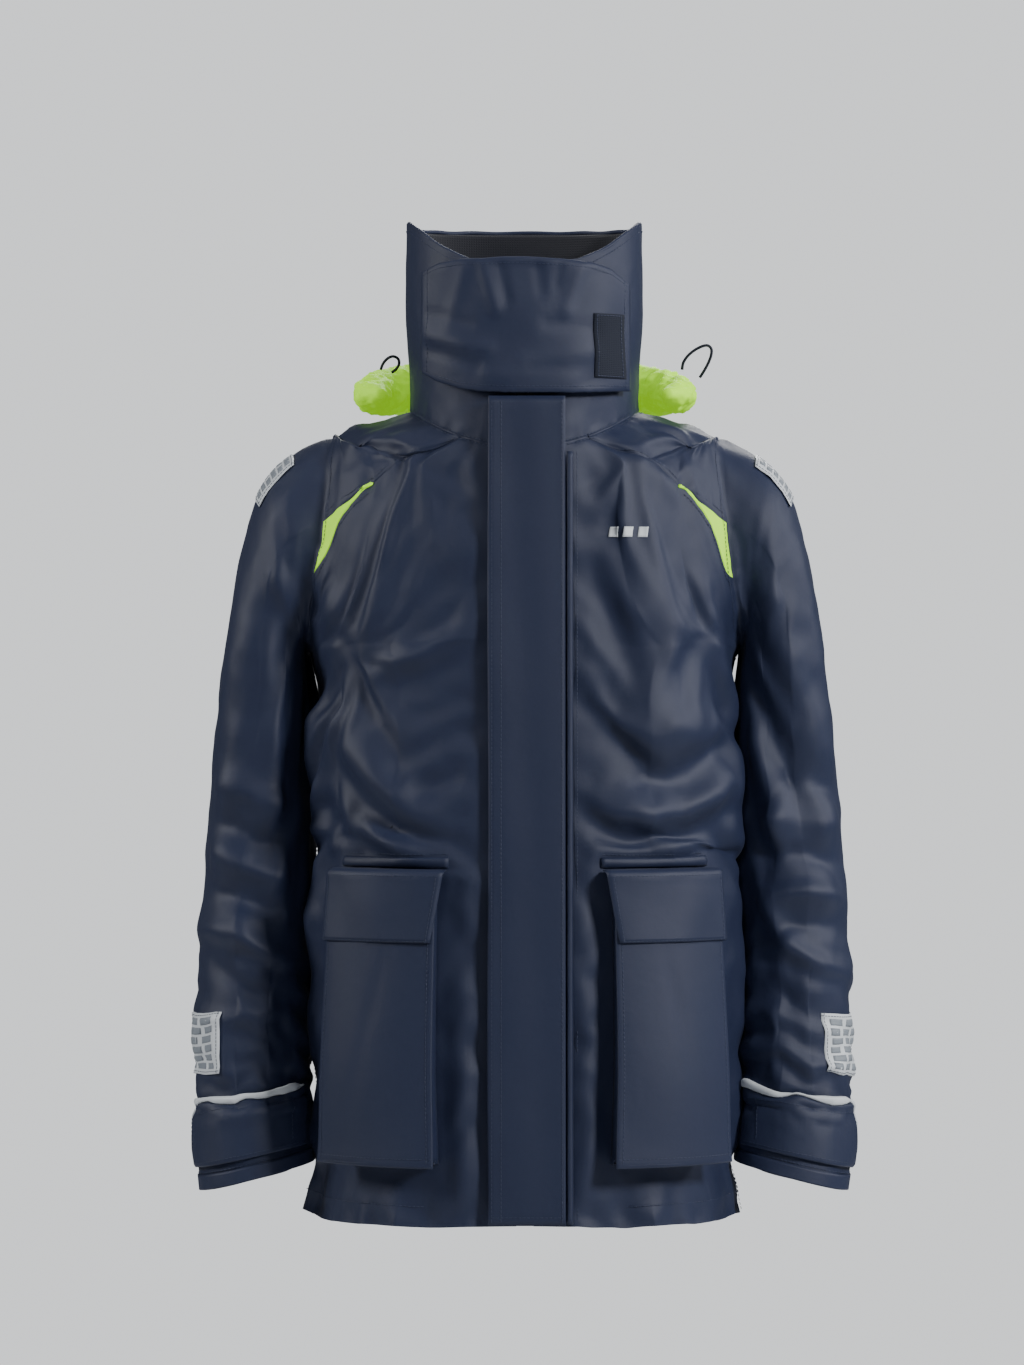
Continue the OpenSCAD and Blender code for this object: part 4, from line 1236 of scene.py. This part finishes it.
for side, k in SIDES.items():
    g = "front_" + side
    rng = 3.0 if k > 0 else 11.0

    def bulge(c, z):
        a, b = (c - 0.2) / 0.41, (MOUTH - z) / (MOUTH - FOOT)
        soft = math.sin(3.1 * a + rng) * math.sin(5 * b + rng / 2) * 1.0 + 0.8 * math.sin(9 * b - 4 * a + rng) * b
        crease = -2.0 * math.exp(-((a - 0.25 - 0.5 * b) / 0.06) ** 2) * (b > 0.2) * min(1, (b - 0.2) * 4) * (1 - b)
        sides = min(a, 1 - a) * 10
        return (soft * 0.9 + crease + 1.4 * math.sin(math.pi * a) * math.sin(math.pi * min(1, b * 1.1))) * min(1, sides)

    cs = np.concatenate([[0.2, 0.2045], np.linspace(0.212, 0.598, 26), [0.6055, 0.61]])
    zs = np.concatenate([[MOUTH, MOUTH - 2], np.linspace(MOUTH - 6, FOOT + 6, 44), [FOOT + 2, FOOT]])
    deep = [[pocket_d(z) + CLOTH + bulge(c, z) for c in cs] for z in zs]
    p = surface(g, spots_of(cs, [v_at(z) for z in zs]), deep, on_flat)
    piece("pocket_cloth_" + side, slab(p, 1.6), NAVY, "shell", "pocket_front_" + side)
    thread("pocket_topstitch_" + side, outer_edge(p, 2.35, "blr", 0.15), "shell")
    path = [(0.204, z) for z in np.linspace(MOUTH, FOOT + 3, 40)]
    path += [(c, FOOT + 2) for c in np.linspace(0.212, 0.598, 24)]
    path += [(0.606, z) for z in np.linspace(FOOT + 3, MOUTH, 40)]
    rows = []
    for t in np.linspace(0, 1, 9):
        line = []
        for c, z in path:
            pleat = math.sin(math.pi * t) * 3.4 + math.sin(2 * math.pi * t) * 0.8
            pleat *= 1 + 0.25 * math.sin(z / 19 + rng)
            q = on(g, c, v_at(z), 1.0) * (1 - t) + on_flat(g, c, v_at(z), pocket_d(z) + 0.8) * t
            if abs(z - FOOT - 2) < 0.01:
                q[2] += pleat
            else:
                q[0] += pleat * k * (1 if c < 0.4 else -1)
            line.append(q)
        rows.append(line)
    strip("pocket_bellows_" + side, np.array(rows), 1.2, NAVY, "shell", "pocket_gusset_" + side, outward=(-k, 0, 0))
    vs = [v_at(z) for z in np.linspace(-379.5, -388.5, 7)]
    deep = [[0.5 + 2.4 * math.sin(math.pi * t) ** 0.6] * 30 for t in np.linspace(0.04, 0.96, 7)]
    strip("pocket_welt_cloth_" + side, surface(g, spots_of(np.linspace(0.17, 0.63, 30), vs), deep), 0.9, NAVY, "shell",
          "pocket_welt_" + side)
    line = [(c, v_at(-377)) for c in np.linspace(0.175, 0.625, 50)]
    thread("pocket_welt_stitch_" + side, [seam_line(g, line, 0.3)], "shell")
    cs = np.linspace(0.175, 0.62, 32)
    rows = []
    spots = [(-389.2, 4.2), (-389.4, 9.5), (-389.9, 14.5), (-391.2, 18.2), (-393.6, 20.2)]
    spots += [(z, pocket_d(min(z, MOUTH)) + 4.6) for z in np.linspace(-397, -452.6, 18)] + [(-454, 20.0)]
    for n_row, (z, d) in enumerate(spots):
        line = []
        for c in cs:
            a = (c - 0.175) / 0.445
            cc = c + 0.035 * (1 - a) ** 3 * max(0, -391 - z) / 63
            wave = 0.5 * math.sin(6 * a + rng) * math.sin(z / 14) + 0.35 * math.sin(13 * a - z / 20 + rng)
            line.append(on_flat(g, cc, v_at(z), d + wave * (n_row > 4)))
        rows.append(line)
    p = np.array(rows)
    lid = piece("pocket_flap_cloth_" + side, slab(p, 1.9), NAVY, "pocket_flap_" + side, "pocket_flap_" + side)
    q = p[4:]
    lines = outer_edge(q, 1.3, "b", 0.15) + outer_edge(q, 1.2, "lr", 0.15) + outer_edge(q, 0.6, "t", 0.15)
    thread("pocket_flap_topstitch_" + side, lines, "pocket_flap_" + side)
    cs = np.linspace(0.3, 0.48, 4)

# ---- chest emblem: three plain slanted bars ------------------------------------------------------------------
CHEST_ROWS = np.linspace(8, 10.9, 60)
parts = []
for c0 in (0.300, 0.364, 0.428):
    rows = []
    for t, z in zip(np.linspace(0, 1, 6), np.linspace(-92, -101, 6)):
        line = []
        for w in np.linspace(0, 0.04, 7):
            c = c0 + 0.012 * (1 - t) + w
            heights = [GRIDS["front_left"].look(c, v)[2] for v in CHEST_ROWS]
            line.append((c, float(np.interp(z, heights, CHEST_ROWS))))
        rows.append(line)
    parts.append(slab(surface("front_left", rows, 0.9), 0.5, soft_edge=0))
piece("emblem_bars", joined(parts), SILVER, "shell", "chest_emblem")

# ---- hood: crumpled roll, hanging bag and drawcord loops --------------------------------------------------------


def crumple(pts, seed, scale=1.0):
    a = ripple(pts, 34 * scale, seed)
    b = ripple(pts, 17 * scale, seed + 1)
    c = ripple(pts, 9 * scale, seed + 2)
    return (1 - np.abs(a)) * 2.4 + (1 - np.abs(b)) * 1.4 + c * 0.45 - 2.4


rows = []
for t in np.linspace(-112, 112, 190):
    a = math.radians(t)
    tip = 1 - (abs(t) / 116) ** 6
    centre = np.array([137 * math.sin(a), 8 + 121 * math.cos(a), 30 + 19 * math.cos(a / 1.3) ** 2])
    wide, tall = (17 + 6 * abs(math.sin(a))) * tip, (20 + 9 * math.cos(a) ** 2) * tip
    away = np.array([math.sin(a), math.cos(a), 0])
    rows.append([centre + wide * math.cos(b) * away + np.array([0, 0, tall * math.sin(b)])
                 for b in np.linspace(0, 2 * math.pi, 60, endpoint=False)])
roll = np.array(rows)
n = grid_normals(roll, True)
middle = roll.mean(axis=1, keepdims=True)
n = np.where(((roll - middle) * n).sum(axis=2, keepdims=True) < 0, -n, n)
lift = crumple(roll.reshape(-1, 3) * (1, 1, 1.5), 70).reshape(roll.shape[:2])
fade = np.clip((112 - np.abs(np.linspace(-112, 112, 190))) / 14, 0.1, 1)
roll = roll + n * (lift * fade[:, None])[:, :, None] * 1.1
sides = roll.shape[1]
polys = grid_faces(len(roll), sides, 0, True)
polys += [list(range(sides))[::-1], [(len(roll) - 1) * sides + j for j in range(sides)]]
if np.cross(roll[95, 1] - roll[95, 0], roll[96, 0] - roll[95, 0]) @ n[95, 0] < 0:
    polys = [f[::-1] for f in polys]
hood_roll = piece("hood_roll", (roll.reshape(-1, 3), polys), LIME, "shell", "hood_neck")
# The bag hangs down the back. It is widest below the neck and rounded at its foot.
WIDE, DROP, BAG_ROWS, BAG_COLS = 0.5, 232.0, 64, 70
rows = []
for t in np.linspace(0, 1, BAG_ROWS):
    line = []
    narrow = (1 - 0.42 * max(0, (t - 0.45) / 0.55) ** 2.4) * (1 - 0.10 * (1 - t) ** 5)
    for e in np.linspace(-WIDE, WIDE, BAG_COLS):
        share = abs(e) / WIDE
        v = 9.75 + (abs(e) - DROP / 62) * t + 0.30 * share ** 4 * t
        edge = (1 - share ** 4) * (1 - abs(2 * t - 1) ** 6)
        sag = 3.2 * math.sin(17 * t ** 1.3 + 0.8 * math.sin(3 * e)) * (1 - share ** 3) * math.sin(math.pi * t)
        line.append(on_flat("back", e * narrow, v, 6 + 8 * (1 - t) ** 2 + 2.4 + 20 * edge + sag))
    rows.append(line)
bag = np.array(rows)
n = faced(bag, grid_normals(bag), (0, 1, 0))
lift = crumple(bag.reshape(-1, 3) * (1, 1, 0.8), 90, 1.5).reshape(bag.shape[:2])
BAG_FOLDS = [(0, 20, 0, -200, 9, -3.5), (-96, -20, -40, -170, 10, 3), (96, -20, 42, -175, 10, 3),
             (-60, 0, -20, -150, 8, -2.5), (62, -4, 22, -150, 8, -2.5), (-90, -60, 90, -74, 9, -2),
             (-84, -128, 84, -140, 9, 2)]
for x0, z0, x1, z1, w, h in BAG_FOLDS:
    d, _ = near([(x0, z0), (x1, z1)], bag.reshape(-1, 3)[:, [0, 2]])
    lift += (h * np.exp(-(d / w) ** 2)).reshape(lift.shape)
from_side = [np.minimum(np.arange(count), count - 1 - np.arange(count)) for count in (BAG_ROWS, BAG_COLS)]
border = np.minimum.outer(*from_side)
lift *= np.clip(border / 6, 0, 1)
bag = bag + n * lift[:, :, None]
hood = piece("hood_folded", slab(bag, 3.0, outward=(0, 1, 0)), LIME, "hood_bag", "hood_bag")
thread("hood_topstitch", outer_edge(bag, 3.3, "tblr", 0.2, (0, 1, 0)), "hood_bag")


def loop_cord(name, route, node):
    """An elastic cord along a CAD route, smoothed between its points."""
    route = np.array(route, float)
    line = np.array([row_at(route, i / 8) for i in range(8 * (len(route) - 1))] + [route[-1]])
    obj = piece(name, tube(line, 1.3, 10), ELASTIC, "shell", node)


loop_cord("drawcord_left", [[142, -2, 54], [143, -4, 60], [147, -6, 66], [153, -8, 71], [160, -9, 74.5], [165, -9, 75],
                            [168, -8, 72], [168, -7, 67], [166, -5, 61], [163, -3, 55], [160, -1, 50], [158, 0, 47]],
          "hood_cord_left")
loop_cord("drawcord_right", [[-129, -2, 54], [-127, -4, 59], [-123, -6, 63.5], [-118, -7, 65.5], [-113.5, -6, 63.5],
                             [-112.5, -5, 59], [-115, -3, 54.5], [-119, -1, 51.5]], "hood_cord_right")
p = np.array([[(r * math.cos(a), 74.7 - 0.3 * math.sin(3 * a), 40 + r * math.sin(a)) for r in np.linspace(15.2, 21.8, 6)]
              for a in np.linspace(math.radians(-214), math.radians(34), 60)])
strip("hanger_webbing", ribbed(p, 0.12), 1.2, TAPE, "shell", "hanger_loop")

# ---- sleeves: patches, cuffs, tabs ---------------------------------------------------------------------------
def arm_grid(side, turns, rows, d):
    """A grid of points round a sleeve."""
    return surface("sleeve_" + side, spots_of([t % 360 for t in turns], rows), d)


def lines_of(p, n, cuts, d):
    """(point, normal) lines along some rows or columns of a grid."""
    return [np.concatenate([p[at] + n[at] * d, n[at]], axis=1) for at in cuts]


def reflector(tag, side, body, low, high, turn0, turn1, d):
    """A silver patch with rows of grey blocks, like bricks, and a stitched edge."""
    out_way = (SIDES[side], -0.6, 0.3)
    wide, tall = turn1 - turn0, high - low
    p = arm_grid(side, np.linspace(turn0, turn1, 26), np.linspace(low, high, 26), d)
    piece(f"{tag}_reflector_{side}", slab(p, 0.8, outward=out_way), SILVER, body, f"{tag}_patch_{side}")
    parts = []
    for r in range(6):
        for c in range(3):
            a = turn0 + wide * (0.09 + 0.29 * c + (0.07 if r % 2 else 0))
            a_end = a + wide * (0.21 if c < 2 or not r % 2 else 0.16)
            b = low + tall * (0.08 + 0.145 * r)
            block = arm_grid(side, np.linspace(a, a_end, 5), np.linspace(b, b + tall * 0.105, 4), d + 0.25)
            parts.append(slab(block, 0.3, outward=out_way, soft_edge=0))
    piece(f"{tag}_blocks_{side}", joined(parts), GREY, body, slot="reflective")
    n = faced(p, grid_normals(p), out_way)
    lines = lines_of(p, n, (np.s_[1, :], np.s_[-2, :], np.s_[:, 1], np.s_[:, -2]), 0.1)
    thread(f"{tag}_reflector_stitch_{side}", lines, body, length=2.0, gap=1.3, radius=0.26)


def band(name, side, rows, d, thick, material, node):
    """A ring of cloth round the forearm."""
    p = arm_grid(side, np.linspace(0, 360, 72, endpoint=False), rows, d)
    outward = (p - p.mean(axis=1, keepdims=True))[len(p) // 2, 36]
    piece(name, slab(p, thick, wrap=True, outward=outward), material, "forearm_" + side, node)


def tab_top(t):
    return float(np.interp(t, [10, 21, 27], [13.54, 13.12, 13.04]))


def tab_low(t):
    return 14.3 - 0.05 * max(0, 1 - (t - 10) / 6)


for side, k in SIDES.items():
    g, arm, tab = "sleeve_" + side, "forearm_" + side, "cuff_tab_" + side
    reflector("forearm", side, arm, 11.6, 12.5, -12, 64, 1.3)
    reflector("shoulder", side, BENDS["sleeve_cap_" + side][:4], 1.05, 2.5, -25, 30, 1.7)
    band("cuff_hem_" + side, side, np.linspace(14.5, 14.99, 8), 1.6, 1.3, NAVY, "cuff_band_" + side)
    band("cuff_inner_" + side, side, np.linspace(12.6, 14.4, 26), -7.4, 1.5, FLEECE, "inner_cuff_" + side)
    p = arm_grid(side, np.linspace(-15, 45, 20), np.linspace(13.4, 14.3, 26), 1.4)
    strip("cuff_loops_" + side, ribbed(p, 0.25), 0.8, TAPE, arm, "cuff_loop_" + side, outward=(k, -0.3, 0))
    # the tab: a slanted free end, with piping along its top edge and down the slant
    turns = np.concatenate([[10, 11], np.linspace(13, 24, 8), np.linspace(27, 147, 46), [149, 150]])

    shares = np.concatenate([[0, 0.03], np.linspace(0.08, 0.92, 16), [0.97, 1]])
    rows = []
    for share in shares:
        line = []
        for t in turns:
            wave = 0.45 * math.sin(t / 13 + 1) + 0.3 * math.sin(t / 6 - 4 * share) + 0.6 * max(0, (24 - t) / 14)
            wave *= math.sin(math.pi * share)
            line.append(on(g, t, tab_top(t) + (tab_low(t) - tab_top(t)) * share, 4.1 + wave))
        rows.append(line)
    p = np.array(rows)
    tab_cloth = piece("cuff_tab_cloth_" + side, slab(p, 1.8, outward=(0.3 * k, -1, 0)), NAVY, tab, tab)
    n = faced(p, grid_normals(p), (0.3 * k, -1, 0))
    cuts = (np.s_[3, 4:-2], np.s_[-3, 4:-2], np.s_[3:-3, 5], np.s_[3:-3, -9])
    thread("cuff_tab_topstitch_" + side, lines_of(p, n, cuts, 0.15), tab)
    rows = []
    for share in np.linspace(0, 1, 7):
        d = 3.3 + 1.4 * math.sin(math.pi * share) ** 0.6
        rows.append([on(g, t, tab_top(t) - 0.135 + 0.125 * share, d) for t in turns[1:]])
    strip("cuff_piping_cloth_" + side, np.array(rows), 1.2, SILVER, tab, "cuff_piping_" + side, outward=(0.3 * k, -1, 0))

# ---- floor and backdrop ----------------------------------------------------------------------------------------
backdrop = bpy.data.materials.new("pale_floor")
backdrop.use_nodes = True
backdrop.node_tree.nodes["Principled BSDF"].inputs["Base Color"].default_value = (0.64, 0.65, 0.66, 1)
backdrop.node_tree.nodes["Principled BSDF"].inputs["Roughness"].default_value = 0.95
verts = [(1900 * math.cos(a), 1900 * math.sin(a), -1180) for a in np.linspace(0, 2 * math.pi, 96, endpoint=False)]
mesh = new_mesh("studio_floor", verts, [list(range(96))])
mesh.materials.append(backdrop)
floor = bpy.data.objects.new("studio_floor", mesh)
scene.collection.objects.link(floor)
floor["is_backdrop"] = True

size = {key: [list(map(float, corner)) for corner in box] for key, box in (("cad", cad_box), ("visual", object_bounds()))}
